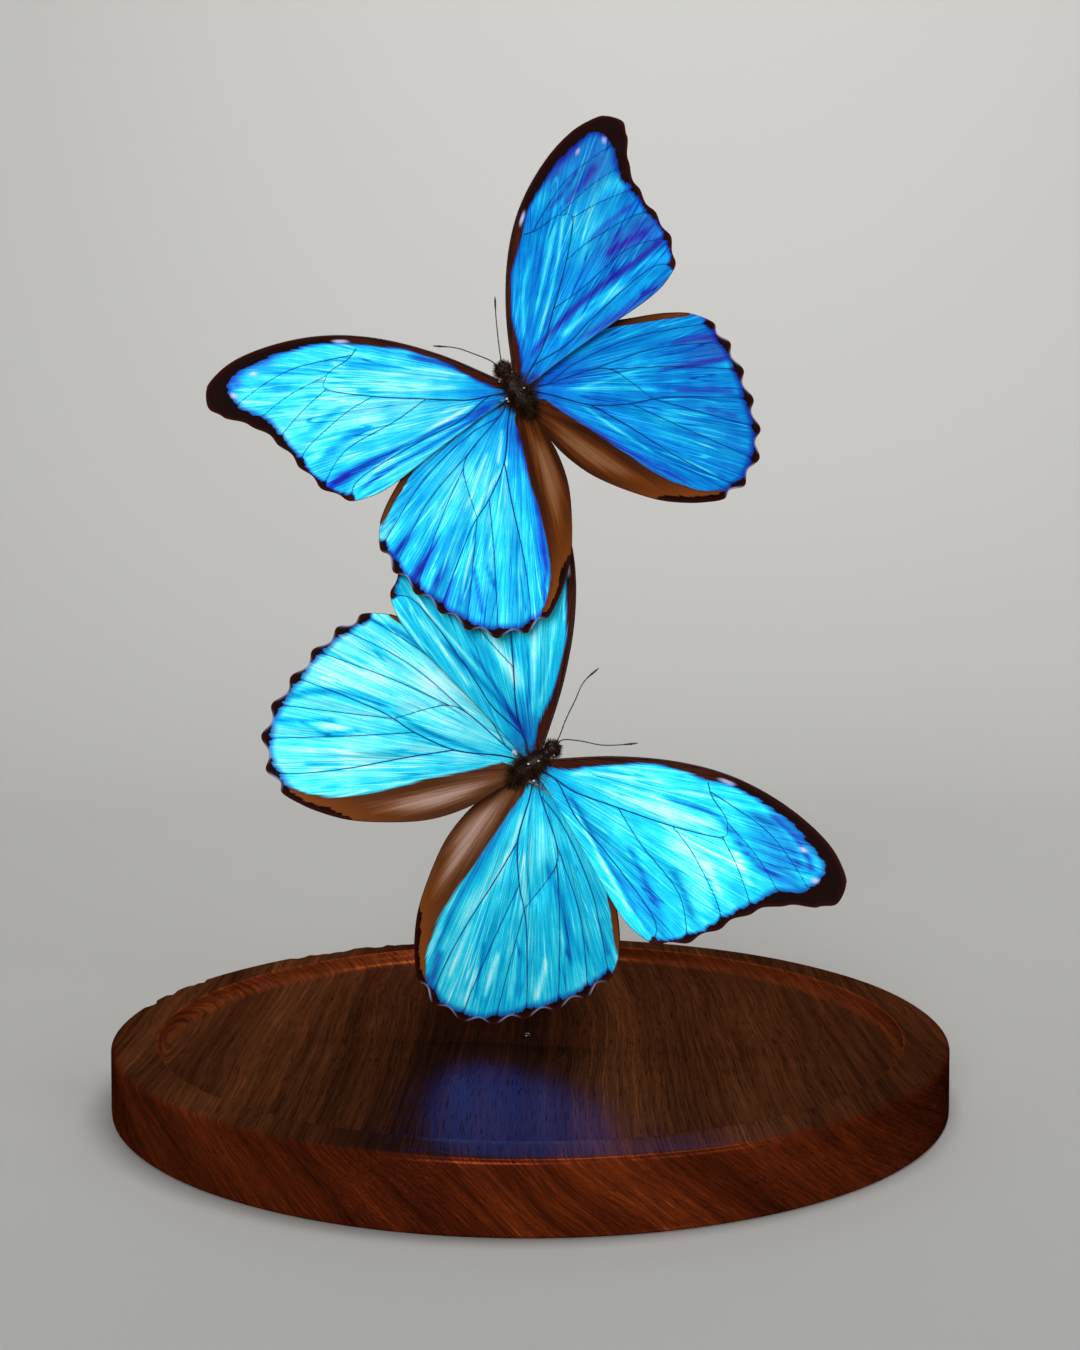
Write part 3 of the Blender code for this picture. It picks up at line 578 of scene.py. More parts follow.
def wing_underside():
    """Morpho wing underside: brown scales with pale lines and ringed eyespots, matt."""
    made, node = new_look("brown wing underside scales")
    uv = uv_places(node)
    mottle = grain(node, uv["plan"], (0.25, 0.25, 1.0), 4.0, 0.6)
    fine = grain(node, uv["streak"], (1.4, 0.1, 1.0))
    edge, eye, gap = (node("Attribute", out="Fac", attribute_name=name)
                      for name in ("edge", "eyespot", "vein_gap"))
    ground = node("ValToRGB", mottle, stops=((0.25, "#2E1A10"), (0.5, "#4E3220"), (0.75, "#6E4C33")))
    edge = swayed(node, edge, mottle, 0.3, 0.7, -0.5, 0.5, **SMOOTH)
    bands = node("ValToRGB", node("MapRange", edge, 0.0, 12.0), stops=UNDERSIDE_BANDS)
    colour = node("Mix", bands, ground, "#C8A77E", **MIXED)
    rings = node("ValToRGB", eye, stops=EYESPOT_RINGS)
    colour = turned(node, colour, rings, eye, 0.9, 1.0, 1.0, 0.0)
    colour = turned(node, colour, "#8C6A48", gap, 0.15, 0.5, 0.5, 0.0)
    return finished(made, {"Base Color": colour, "Roughness": 0.65}, (fine, 0.5, 0.2))


def plain_look(name):
    """Return a look of one grain in two colours."""
    roughness, gloss, scale, detail, turn, first, second, *relief = PLAIN_LOOKS[name]
    made, node = new_look(name)
    pattern = grain(node, node("TexCoord", out="Object"), (scale,) * 3, detail)
    colour = turned(node, first, second, pattern, *turn)
    return finished(made, {"Base Color": colour, "Roughness": roughness, "Specular IOR Level": gloss},
                    (pattern, *relief[0]) if relief else None)


def stained_wood():
    """Stained hardwood, turned and sanded, with a satin lacquer over open grain.

    Long dark pores along the board, slow bands of tone, a darker strip down the middle of the top that
    is partly a darker board and partly painted shade, and redder round the side and in the recess, partly
    the wood's own tone where the tool cut across and partly painted light. The lacquer gives the wings
    back in deep blue.
    """
    made, node = new_look("stained turned hardwood")
    mm = node("VectorMath", node("TexCoord", out="Object"), 1.0 / MM, operation="SCALE")
    split = node("SeparateXYZ", mm).node.outputs
    across = node("Math", split["X"], node("Math", split["Z"], 1.1, **TIMES))
    across = swayed(node, across, grain(node, mm, (0.02, 0.008, 0.02)), 0.3, 0.7, -2.5, 2.5)
    place = node("CombineXYZ", across, split["Y"], split["Z"])
    boards, bands, fibres, pores = (grain(node, place, *values) for values in WOOD_GRAINS)
    wall, recess = (node("Attribute", out="Fac", attribute_name=name) for name in ("wall", "recess"))

    tone = node("MapRange", boards, 0.3, 0.7, 0.05, 0.45)
    tone = swayed(node, tone, bands, 0.3, 0.7, 0.0, 0.25)
    tone = swayed(node, tone, fibres, 0.3, 0.7, -0.1, 0.25)
    # The side's ramp is redder and lighter: partly the wood's own tone, partly painted light on the side
    brown, side_tone_and_painted_light = (node("ValToRGB", tone, stops=stops) for stops in (WOOD_TOP, WOOD_SIDE_WITH_PAINTED_LIGHT))
    # A darker strip down the middle of the top, front to back: partly a darker board, partly painted shade
    # that keeps the lacquer's blue reflection of the wings deep
    off = node("Math", node("Math", across, -4.0), operation="ABSOLUTE")
    brown = turned(node, brown, "#1C0D0A", off, 12.0, 38.0, 0.7, 0.0)
    wall = swayed(node, wall, bands, 0.4, 0.7, -0.1, 0.15)
    # The recess wall's bright orange: partly the wood cut across the grain, partly painted light on the lit
    # wall
    recess_grain_and_painted_light = turned(node, "#5E210C", "#A04A22", fibres, 0.3, 0.7)
    pore = node("MapRange", pores, 0.3, 0.42, 0.6, 0.0, **SMOOTH)
    colour = brown
    for share, other in ((wall, side_tone_and_painted_light), (recess, recess_grain_and_painted_light), (pore, "#120805")):
        colour = node("Mix", share, colour, other, **MIXED)
    height = node("Math", node("Math", fibres, 0.4, **TIMES), pore, operation="SUBTRACT")
    return finished(made, {
        "Base Color": colour,
        "Roughness": node("MapRange", node("Math", fibres, pore), 0.3, 1.0, 0.17, 0.36),
        "Metallic": 0.35,
        "Specular IOR Level": 0.01,
        "Specular Tint": "#1E4EFF",
    }, (height, 0.35, 0.2))


def brass():
    """Drawn brass wire, dulled: warm yellow-brown metal with faint lengthwise marks."""
    made, node = new_look("dull drawn brass")
    dull = grain(node, node("TexCoord", out="Object"), (1500.0, 1500.0, 60.0), 3.0)
    return finished(made, {
        "Base Color": turned(node, "#8A6A3C", "#5C4023", dull, 0.35, 0.65),
        "Roughness": node("MapRange", dull, 0.3, 0.7, 0.28, 0.45, **SMOOTH),
        "Metallic": 1.0,
    })


def dark_fur():
    """Dried butterfly body hair: fine brown-black hairs, dull, lighter brown at some tips."""
    made, node = new_look("dark brown body hair")
    tones = ((0.0, "#140803"), (0.35, "#2C170A"), (0.6, "#4E3018"), (0.85, "#7C5832"))
    strand = node("Attribute", out="Fac", attribute_name="strand")
    colour = node("ValToRGB", strand, stops=tones)
    return finished(made, {"Base Color": colour, "Roughness": 0.9, "Specular IOR Level": 0.04})


def eye_lens():
    """Compound eye: a smooth dark dome of fine facets, glossy."""
    made, node = new_look("dark faceted eye")
    cells = node("TexVoronoi", node("TexCoord", out="Object"), 9000.0)
    colour = turned(node, "#1A0F09", "#050303", cells, 0.2, 0.8)
    return finished(made, {"Base Color": colour, "Roughness": 0.16}, (cells, 0.4, 0.05))


def smooth_run(points, spacing):
    """Return a smooth curve through points, sampled at about the spacing given."""
    places = [np.array(p, float) for p in points]
    padded = [2 * places[0] - places[1]] + places + [2 * places[-1] - places[-2]]
    run = []
    for a, b, c, d in zip(padded, padded[1:], padded[2:], padded[3:]):
        steps = max(2, round(float(np.linalg.norm(c - b)) / spacing))
        for i in range(steps):
            t = i / steps
            run.append(0.5 * (2 * b + (c - a) * t + (2 * a - 5 * b + 4 * c - d) * t ** 2
                              + (3 * b - a - 3 * c + d) * t ** 3))
    run.append(places[-1])
    return np.array(run)


def hanging_run(points, depth, spacing):
    """Return a straight-sided edge from vein end to vein end, and how far in it hangs at each point."""
    places = [np.array(p, float) for p in points]
    run, hang = [], []
    for a, b in zip(places, places[1:]):
        span = float(np.linalg.norm(b - a))
        steps = max(4, round(span / spacing))
        for i in range(steps):
            t = i / steps
            run.append(a + (b - a) * t)
            hang.append(min(1.0, span / 6.0) * depth * sin(pi * t) ** 1.8)
    run.append(places[-1])
    hang.append(0.0)
    return np.array(run), np.array(hang)


def softened(outline, passes):
    """Return a closed outline with its corners rounded off."""
    for _ in range(passes):
        outline = 0.5 * outline + 0.25 * (np.roll(outline, 1, axis=0) + np.roll(outline, -1, axis=0))
    return outline


def distance_to(points, line):
    """Return how far each point is from a line of short pieces."""
    best = np.full(len(points), FAR)
    for a, b in zip(line, line[1:]):
        span = b - a
        t = np.clip(((points - a) @ span) / max(TINY, span @ span), 0.0, 1.0)
        best = np.minimum(best, np.linalg.norm(points - a - t[:, None] * span, axis=1))
    return best


def inside(points, outline):
    """Return which points lie inside a closed outline."""
    x, y = points[:, 0], points[:, 1]
    hit = np.zeros(len(points), bool)
    for (ax, ay), (bx, by) in zip(outline, np.roll(outline, -1, axis=0)):
        crosses = (ay > y) != (by > y)
        at = (bx - ax) * (y - ay) / (by - ay if by != ay else TINY) + ax
        hit ^= crosses & (x < at)
    return hit


def thorax(insect):
    """Return the middle of a butterfly's thorax."""
    x, z = BUTTERFLIES[insect]["centre"]
    return Vector((x, BODY_Y, z)) * MM


def head_direction(insect):
    """Return the unit vector that a butterfly's head points along."""
    heading = radians(BUTTERFLIES[insect]["heading"])
    return Vector((cos(heading), 0.0, sin(heading)))


def wing_placement(insect, side, kind, angles):
    """Return the matrix that puts a wing's plane at its root on the thorax."""
    ahead, out, up = WINGS[kind]["root"]
    head = head_direction(insect)
    sideways = Vector((head.z, 0.0, -head.x)) * side
    face = Vector((0.0, -1.0, 0.0))
    root = thorax(insect) + (head * ahead + sideways * out + face * up) * MM
    angle, lift, roll = (radians(value) for value in angles)
    along = Vector((cos(angle), 0.0, sin(angle)))
    lifted = along * cos(lift) + face * sin(lift)
    upper = face * cos(lift) - along * sin(lift)
    trailing = along.cross(face) * side * cos(roll) + upper * sin(roll)
    across = -trailing * side
    normal = lifted.cross(across)
    turn = Matrix((lifted, across, normal)).transposed().to_4x4()
    return Matrix.Translation(root) @ turn


class WingPlan:
    """One kind of wing on its own plane, in mm: its outline, veins, markings and relief."""

    def __init__(self, kind, seed, droop):
        shape = WINGS[kind]
        self.kind = kind
        self.droop = droop
        self.length = shape["length"]
        self.random = np.random.default_rng(seed)
        leading = smooth_run(shape["leading"], OUTLINE_STEP)
        outer, hang = hanging_run(shape["vein_ends"], shape["scallop"], OUTLINE_STEP)
        trailing = smooth_run(shape["trailing"], OUTLINE_STEP)
        join = smooth_run((shape["vein_ends"][-1], shape["trailing"][0]), OUTLINE_STEP)[1:-1]
        tip = smooth_run((shape["leading"][-1], shape["vein_ends"][0]), OUTLINE_STEP)[1:-1]
        plain = softened(np.concatenate((leading, tip, outer, join, trailing)), CORNER_PASSES)
        first = len(leading) + len(tip)
        self.leading = plain[:len(leading)]
        self.outer = plain[first:first + len(outer)]
        depth = np.zeros(len(plain))
        depth[first:first + len(outer)] = hang
        inward = np.array(WING_HUB) - plain
        inward /= np.linalg.norm(inward, axis=1)[:, None]
        self.outline = softened(plain + inward * depth[:, None], EDGE_PASSES)
        self.veins = [(strength, smooth_run(vein, 1.0)) for strength, vein in shape["veins"]]
        self.vein_ends = np.array(shape["vein_ends"], float)
        self.streak_hub = np.array(shape["streak_hub"])
        self.ripples = [(k, a, self.random.uniform(0, tau), self.random.uniform(-0.02, 0.02))
                        for k, a in RIPPLES]

    def fan(self, points):
        """Return the angle and reach of points as streaks fan out behind the root."""
        away = points - self.streak_hub
        return np.arctan2(away[:, 1], away[:, 0]), np.linalg.norm(away, axis=1)

    def gap_to_veins(self, points):
        """Return how far each point is from the nearest vein."""
        return np.min([distance_to(points, vein) for _, vein in self.veins], axis=0)

    def height(self, points):
        """Return the relief: a gentle camber, pleats between the veins and fine ripples."""
        reach = np.maximum(0.0, points[:, 0] / self.length)
        camber = WING_CAMBER * 4.0 * reach * (1.0 - reach)
        pleat = PLEAT_HEIGHT * (1.0 - np.exp(-(self.gap_to_veins(points) / PLEAT_REACH) ** 2))
        angle, far = self.fan(points)
        ripple = sum(a * np.sin(k * angle + phase + drift * far) for k, a, phase, drift in self.ripples)
        settle = np.clip((points[:, 0] - 2.0) / 12.0, 0.0, 1.0)
        bent = np.maximum(0.0, self.fold_at(points)) / 4.0
        return camber + (pleat + ripple) * settle - self.droop * (1.0 - np.exp(-bent * bent))

    def border_at(self, points):
        """Return how far inside the dark border points are, negative on the blue."""
        outer = distance_to(points, self.outer)
        if self.kind == "hindwing":
            shape = WINGS["hindwing"]
            corner = smooth_run(shape["vein_ends"][-1:] + shape["trailing"][:2], 1.0)
            outer = np.minimum(outer, distance_to(points, corner) + CORNER_SETBACK)
            return HIND_BORDER_WIDTH * np.clip((points[:, 0] - 22.0) / 18.0, 0.0, 1.0) - outer
        line = smooth_run(FORE_BORDER, 1.0)
        field = np.vstack((line, np.array(FORE_BACK, float)))
        border = distance_to(points, line) * np.where(inside(points, field), -1.0, 1.0)
        return np.maximum(border, 1.1 + 0.045 * (points[:, 1] + 29.0) - outer)

    def fold_at(self, points):
        """Return how far inside a hindwing's bare fold points are, negative on the blue."""
        if self.kind == "forewing":
            return np.full(len(points), -9.0)
        line = smooth_run(HIND_FOLD, 1.0)
        field = np.array(HIND_FOLD_FIELD, float)
        return distance_to(points, line) * np.where(inside(points, field), 1.0, -1.0)

    def clear_part(self, vein):
        """Return the stretch of a vein before it meets the dark border."""
        clear = self.border_at(vein) < 0.2
        return vein if clear.all() else vein[:int(np.argmin(clear))]

    def fields(self, points, tone, painted_sheen_patches, painted_crease_shading):
        """Return the painted values that the wing materials read."""
        edge = distance_to(points, np.vstack((self.outline, self.outline[:1])))
        outer = distance_to(points, self.outer)
        border, fold = self.border_at(points), self.fold_at(points)
        if self.kind == "forewing":
            pale = self.spots(points, FORE_SPOTS)
        else:
            costal = 2.0 - distance_to(points, self.leading)
            strip = costal * np.clip((40.0 - points[:, 0]) / 10.0, 0.0, 1.0)
            fold = np.maximum(fold, 2.0 * strip - 0.8)
            middles = 0.5 * (self.vein_ends[:-1] + self.vein_ends[1:])
            pale = self.spots(points, [(*place, 3.0, 3.0) for place in middles])
            pale = pale * np.clip(1.4 - edge / 0.35, 0.0, 1.0)
            pale = pale * np.clip((points[:, 0] - 42.0) / 4.0, 0.0, 0.8)
        gap = self.gap_to_veins(points)
        border = border + 1.2 * np.exp(-gap / 0.5) * np.clip(1.4 - outer / 4.5, 0.0, 1.0)
        # The wing's painted light and sheen: its overall level, then painted patches and creases of sheen
        # and shade, and it is made darker towards the root
        level = np.full(len(points), float(tone))
        violet = np.zeros(len(points))
        for x, y, long, wide, turn, paler, bluer in painted_sheen_patches:
            away = points - np.array((x, y), float)
            c, s = cos(radians(turn)), sin(radians(turn))
            u = (away[:, 0] * c + away[:, 1] * s) / long
            v = (away[:, 1] * c - away[:, 0] * s) / wide
            weight = np.exp(-(u * u + v * v))
            level += paler * weight
            violet += bluer * weight
        for path, wide, paler, bluer in painted_crease_shading:
            line = smooth_run(path, 0.5)
            away = distance_to(points, line) / wide
            start, end = line[0], line[-1]
            share = ((points - start) @ (end - start)) / ((end - start) @ (end - start))
            weight = np.exp(-away * away) * np.clip(8.0 * np.minimum(share + 0.05, 1.05 - share), 0.0, 1.0)
            level += paler * weight
            violet += bluer * weight
        root = np.clip(1.0 - points[:, 0] / 10.0, 0.0, 1.0)
        return {
            "edge": edge, "border": border, "fold": fold, "pale": pale, "reach": points[:, 0] / self.length,
            "vein_gap": gap, "tone": level - 0.15 * root,
            "violet": np.clip(violet, 0.0, 1.0), "eyespot": self.eyespots(points),
        }

    def spots(self, points, places):
        """Return soft oval marks, 1 in their middles."""
        mark = np.zeros(len(points))
        for x, y, long, wide in places:
            away = (points - np.array((x, y), float)) / np.array((long, wide))
            mark = np.maximum(mark, np.clip(1.6 - 1.6 * np.linalg.norm(away, axis=1), 0.0, 1.0))
        return mark

    def eyespots(self, points):
        """Return how far points are from the underside's eyespots, in their radii."""
        away = [np.linalg.norm(points - np.array((x, y)), axis=1) / radius
                for x, y, radius in WINGS[self.kind]["eyespots"]]
        return np.clip(np.min(away, axis=0), 0.0, 1.0)


def ring_shares(lengths):
    """Return, ring by ring, how far along each ray from hub to margin its points lie."""
    scale = np.minimum(1.0, lengths / FULL_RAY)
    rings = [1.0 - distance * scale / lengths for distance in MARGIN_RINGS]
    last = rings[-1]
    rings += [last * (1.0 - (i + 1) / (INNER_RINGS + 1)) for i in range(INNER_RINGS)]
    return rings


def mesh_of(shape, name, *looks):
    """Return a bmesh as a mesh in its looks."""
    mesh = bpy.data.meshes.new(name)
    shape.to_mesh(mesh)
    shape.free()
    for look in looks:
        mesh.materials.append(look)
    return mesh


def drawn_on(shape, edges):
    """Extrude edges, and return the new points and the new edges."""
    new = bmesh.ops.extrude_edge_only(shape, edges=edges)["geom"]
    return [[item for item in new if isinstance(item, kind)]
            for kind in (bmesh.types.BMVert, bmesh.types.BMEdge)]


def wing_sheet(plan, *looks):
    """Return the wing's flat sheet in mm: rings of faces drawn in from the margin to the hub."""
    hub = np.array(WING_HUB)
    rays = plan.outline - hub
    sheet = bmesh.new()
    rim = bmesh.ops.create_circle(sheet, segments=len(plan.outline), radius=1.0)["verts"]
    for vert, place in zip(rim, plan.outline):
        vert.co = (*place, 0.0)
    edges = sheet.edges[:]
    for share in ring_shares(np.linalg.norm(rays, axis=1)) + [None]:
        ring, edges = drawn_on(sheet, edges)
        if share is None:
            bmesh.ops.pointmerge(sheet, verts=ring, merge_co=(*hub, 0.0))
        else:
            for vert, place in zip(ring, hub + rays * share[:, None]):
                vert.co = (*place, 0.0)
    sheet.normal_update()
    if sum(face.normal.z for face in sheet.faces) < 0.0:
        bmesh.ops.reverse_faces(sheet, faces=sheet.faces)
    return mesh_of(sheet, "wing sheet", *looks)


def coordinates(mesh):
    """Return a mesh's points as an array."""
    flat = np.empty(len(mesh.vertices) * 3, np.float32)
    mesh.vertices.foreach_get("co", flat)
    return flat.reshape(-1, 3).astype(float)


def paint(mesh, name, values):
    """Store one value for each point of a mesh."""
    layer = mesh.attributes.new(name, "FLOAT", "POINT")
    layer.data.foreach_set("value", np.asarray(values, np.float32))


def lay_uv(mesh, name, places):
    """Store a UV map from one place in mm for each point."""
    layer = mesh.uv_layers.new(name=name)
    corner = np.empty(len(mesh.loops), np.int32)
    mesh.loops.foreach_get("vertex_index", corner)
    layer.data.foreach_set("uv", (places[corner] / UV_MM).astype(np.float32).ravel())


def tube_object(name, points, radii, look, sides):
    """Return a round tube through points as an object."""
    curve = bpy.data.curves.new(name, "CURVE")
    curve.dimensions = "3D"
    curve.bevel_depth = 1.0
    curve.bevel_resolution = sides
    curve.use_fill_caps = True
    spline = curve.splines.new("POLY")
    spline.points.add(len(points) - 1)
    for point, place, radius in zip(spline.points, points, radii):
        point.co = (*place, 1.0)
        point.radius = radius
    guide = bpy.data.objects.new(name, curve)
    bpy.context.scene.collection.objects.link(guide)
    mesh = meshed(guide)
    mesh.materials.clear()
    mesh.materials.append(look)
    return linked(name, mesh)


def meshed(source):
    """Return an object's finished mesh, welded, and remove the object."""
    graph = bpy.context.evaluated_depsgraph_get()
    mesh = bpy.data.meshes.new_from_object(source.evaluated_get(graph))
    bpy.data.objects.remove(source)
    welded = bmesh.new()
    welded.from_mesh(mesh)
    bmesh.ops.remove_doubles(welded, verts=welded.verts, dist=0.0005 * MM)
    welded.to_mesh(mesh)
    welded.free()
    return mesh


def linked(name, mesh):
    """Return a new object of a mesh in the scene."""
    made = bpy.data.objects.new(name, mesh)
    bpy.context.scene.collection.objects.link(made)
    return made


def joined(name, parts):
    """Join objects in one, and name it."""
    whole = parts[0]
    if len(parts) > 1:
        with bpy.context.temp_override(active_object=whole, selected_editable_objects=parts):
            bpy.ops.object.join()
    whole.name = name
    whole.data.name = name
    return whole


def finish_piece(piece, slot, *nodes):
    """Shade a piece smooth, set it on the object and let it stand for its CAD nodes."""
    piece.data.shade_smooth()
    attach(piece, "root")
    if nodes:
        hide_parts(*nodes)
    return piece


def make_wing(insect, side_name, kind, looks):
    """Make one wing: a thin relief sheet with its veins and its leading rib."""
    size, *angles = WING_POSES[(insect, side_name, kind)]
    side = 1 if side_name == "right" else -1
    name = f"{insect}_{side_name}_{kind}"
    seed = list(WING_POSES).index((insect, side_name, kind)) + 11
    plan = WingPlan(kind, seed, FOLD_DROOP[side_name])
    seat = np.array(wing_placement(insect, side, kind, angles))

    def placed(flat, lift=0.0):
        """Return points of the plan in the world, lifted off the sheet by some mm."""
        spots = np.column_stack((flat[:, 0], flat[:, 1] * side, plan.height(flat) + lift)) * size * MM
        return spots @ seat[:3, :3].T + seat[:3, 3]

    mesh = wing_sheet(plan, looks["scales"], looks["underside"], looks["fringe"])
    flat = coordinates(mesh)[:, :2]
    for key, values in plan.fields(flat, *WING_PAINTED_LIGHT[(insect, side_name, kind)]).items():
        paint(mesh, key, values)
    lay_uv(mesh, "plan", flat + 7.0 * seed)
    angle, far = plan.fan(flat)
    lay_uv(mesh, "streak", np.column_stack((angle * STREAK_MM + 13.0 * seed, far)))
    mesh.vertices.foreach_set("co", placed(flat).astype(np.float32).ravel())
    if side < 0:
        mesh.flip_normals()
    sheet = linked(name, mesh)
    skin = sheet.modifiers.new("thickness", "SOLIDIFY")
    skin.thickness = SHEET_THICKNESS * size * MM
    skin.offset = 0.0
    skin.material_offset = 1
    skin.material_offset_rim = 2
    graph = bpy.context.evaluated_depsgraph_get()
    solid = linked(name, bpy.data.meshes.new_from_object(sheet.evaluated_get(graph)))
    bpy.data.objects.remove(sheet)

    parts = [solid]
    for strength, vein in plan.veins:
        vein = plan.clear_part(vein)
        radii = np.linspace(VEIN_RADII[0] * strength, VEIN_RADII[1], len(vein)) * size * MM
        parts.append(tube_object(f"{name}_vein", placed(vein, 0.06), radii, looks["vein"], 1))
    rib = plan.leading
    radii = np.interp(np.arange(len(rib)), (0, len(rib) - 1), RIB_RADII) * size * MM
    parts.append(tube_object(f"{name}_rib", placed(rib), radii, looks["rib"], 2))

    rng = np.random.default_rng(seed)
    count = looks["root_hairs"]
    spots = np.column_stack((rng.uniform(-3.6, 0.6, count), rng.uniform(-3.4, 3.2, count)))
    starts = placed(spots, 0.1)
    reach = np.column_stack((rng.uniform(0.8, 1.4, count),
                             rng.normal(0.0, 0.3, count) + spots[:, 1] * 0.16))
    ends = placed(spots + reach, 0.4) + rng.normal(0.0, 0.2, (count, 3)) * MM
    lengths = rng.uniform(*ROOT_HAIR_LENGTHS, count) * MM
    shade = np.clip(rng.normal(0.5, 0.2, count), 0.0, 0.78)
    parts.append(hairs("root_hair", starts, ends - starts, lengths, ROOT_HAIR_WIDTH * MM, shade, rng,
                       looks["fur"]))
    return finish_piece(joined(name, parts), insect + "_wings", name)


def arc(centre, radius, start, end, steps):
    """Return points on an arc, angles in degrees from the outward direction."""
    turn = [radians(start + (end - start) * i / steps) for i in range(steps + 1)]
    return [(centre[0] + radius * cos(a), centre[1] + radius * sin(a)) for a in turn]


def spun(profile, steps):
    """Return a bmesh of a profile (radius, height) turned round Z, closed and facing out."""
    shape = bmesh.new()
    verts = [shape.verts.new((radius, 0.0, height)) for radius, height in profile]
    for first, second in zip(verts, verts[1:]):
        shape.edges.new((first, second))
    bmesh.ops.spin(shape, geom=shape.verts[:] + shape.edges[:], axis=(0, 0, 1), cent=(0, 0, 0),
                   angle=tau, steps=steps, use_merge=True)
    bmesh.ops.remove_doubles(shape, verts=shape.verts, dist=0.001 * MM)
    bmesh.ops.recalc_face_normals(shape, faces=shape.faces)
    return shape


def make_base(settings):
    """Turn the base with its dome recess, softened edges and chipped back edge."""
    floor = BASE_HEIGHT - settings.recess_depth
    recess = settings.recess_radius
    cove, soft, lip = COVE * MM, SOFT_EDGE * MM, LIP * MM
    profile = [(recess * i / 12.0 * 0.96, floor) for i in range(12)]
    profile += arc((recess - cove, floor + cove), cove, -90, -8, 8)
    profile += arc((recess + lip, BASE_HEIGHT - lip), lip, 180, 90, 4)
    profile += [(recess + (BASE_RADIUS - recess) * t, BASE_HEIGHT) for t in (0.25, 0.5, 0.75)]
    profile += arc((BASE_RADIUS - soft, BASE_HEIGHT - soft), soft, 90, 0, 5)
    profile += [(BASE_RADIUS, BASE_HEIGHT * t) for t in (0.8, 0.6, 0.4, 0.2)]
    profile += arc((BASE_RADIUS - soft, soft), soft, 0, -90, 5)
    profile += [(BASE_RADIUS * 0.5, 0.0), (0.0, 0.0)]
    mesh = mesh_of(spun(profile, BASE_STEPS), "base", stained_wood())

    spots = coordinates(mesh)
    radius = np.linalg.norm(spots[:, :2], axis=1)
    angle = np.arctan2(spots[:, 1], spots[:, 0])
    height = spots[:, 2]
    rng = np.random.default_rng(settings.seed)
    wear = np.zeros(len(spots))
    for _ in range(settings.chips):
        at = rng.uniform(*(radians(side) for side in CHIP_SIDES))
        wide = rng.uniform(*CHIP_WIDTHS)
        deep = rng.uniform(*CHIP_DEPTHS)
        gap = np.abs((angle - at + pi) % tau - pi)
        wear = np.maximum(wear, deep * np.clip(1.0 - (gap / wide) ** 2, 0.0, 1.0))
    near_top = np.clip((height - BASE_HEIGHT * 0.45) / (BASE_HEIGHT * 0.5), 0.0, 1.0)
    outer = np.clip((radius - (BASE_RADIUS - WORN_BAND * MM)) / (WORN_BAND * MM), 0.0, 1.0)
    shrink = 1.0 - wear * near_top * outer * MM / BASE_RADIUS
    wobble = 0.12 * np.sin(5 * angle + 1.0) + 0.08 * np.sin(13 * angle)
    shrink -= (0.2 + wobble) * outer * MM / BASE_RADIUS * (height > 0.5 * MM)
    spots[:, :2] *= shrink[:, None]
    spots[:, 2] -= wear * near_top * outer * 0.45 * MM
    mesh.vertices.foreach_set("co", spots.astype(np.float32).ravel())
    # Where the side's redder tone and painted light go
    paint(mesh, "wall", np.clip((radius - (BASE_RADIUS - 1.6 * MM)) / (1.2 * MM), 0.0, 1.0))
    # Where the recess wall's orange tone and painted light go
    inner = np.clip((radius - (recess - cove)) / cove, 0, 1) * (radius < recess + lip)
    paint(mesh, "recess", inner * (height < BASE_HEIGHT) * 0.85)
    mesh.update()
    finish_piece(linked("turned_base", mesh), "dark_wood", "base")


def make_wire(settings):
    """Draw the wire with its rounded top, and the bead of glue at its foot."""
    floor = BASE_HEIGHT - settings.recess_depth
    radius = 0.5 * (WIRE_HIGH.x - WIRE_LOW.x)
    top = WIRE_HIGH.z
    profile = [(0.0, top)] + arc((0.0, top - radius), radius, 75, 0, 5)
    profile += [(radius, top - (top - floor) * t) for t in (0.25, 0.5, 0.75)]
    profile += [(radius, WIRE_LOW.z), (0.0, WIRE_LOW.z)]
    shape = spun(profile, 20)
    bmesh.ops.translate(shape, verts=shape.verts, vec=(WIRE_X, 0.0, 0.0))
    finish_piece(linked("upright_wire", mesh_of(shape, "wire", brass())), "brass_wire", "stem_wire")

    low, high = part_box("wire_foot")
    wide = 0.5 * (high.x - low.x)
    tall = high.z - low.z
    bead = [(0.0, low.z + tall)] + [
        (wide * sin(a), low.z + tall * cos(a)) for a in (pi / 2 * i / 8 for i in range(1, 9))
    ] + [(0.0, low.z)]
    shape = spun(bead, 32)
    for vert in shape.verts:
        a = np.arctan2(vert.co.y, vert.co.x)
        vert.co.x *= 1.0 - 0.1 * (1 + sin(2 * a + 0.6)) / 2
        vert.co.y *= 1.0 - 0.12 * (1 + sin(3 * a)) / 2
    bmesh.ops.translate(shape, verts=shape.verts, vec=(WIRE_X, 0.0, 0.0))
    bead = mesh_of(shape, "bead", plain_look("dark set glue"))
    finish_piece(linked("glue_bead", bead), "glue", "wire_foot")


def hair_template():
    """Return one tapered hair 1 unit long along Z as points and faces."""
    shape = bmesh.new()
    bmesh.ops.create_circle(shape, segments=3, radius=0.5)
    edges = shape.edges[:]
    for height, width in ((0.4, 0.75), (0.75, 0.45)):
        ring, edges = drawn_on(shape, edges)
        for i, vert in enumerate(ring):
            a = tau * i / 3
            vert.co = (0.5 * width * sin(a), 0.5 * width * cos(a), height)
    ring, _ = drawn_on(shape, edges)
    bmesh.ops.pointmerge(shape, verts=ring, merge_co=(0.0, 0.0, 1.0))
    bmesh.ops.recalc_face_normals(shape, faces=shape.faces)
    mesh = mesh_of(shape, "hair")
    return coordinates(mesh), [tuple(p.vertices) for p in mesh.polygons]


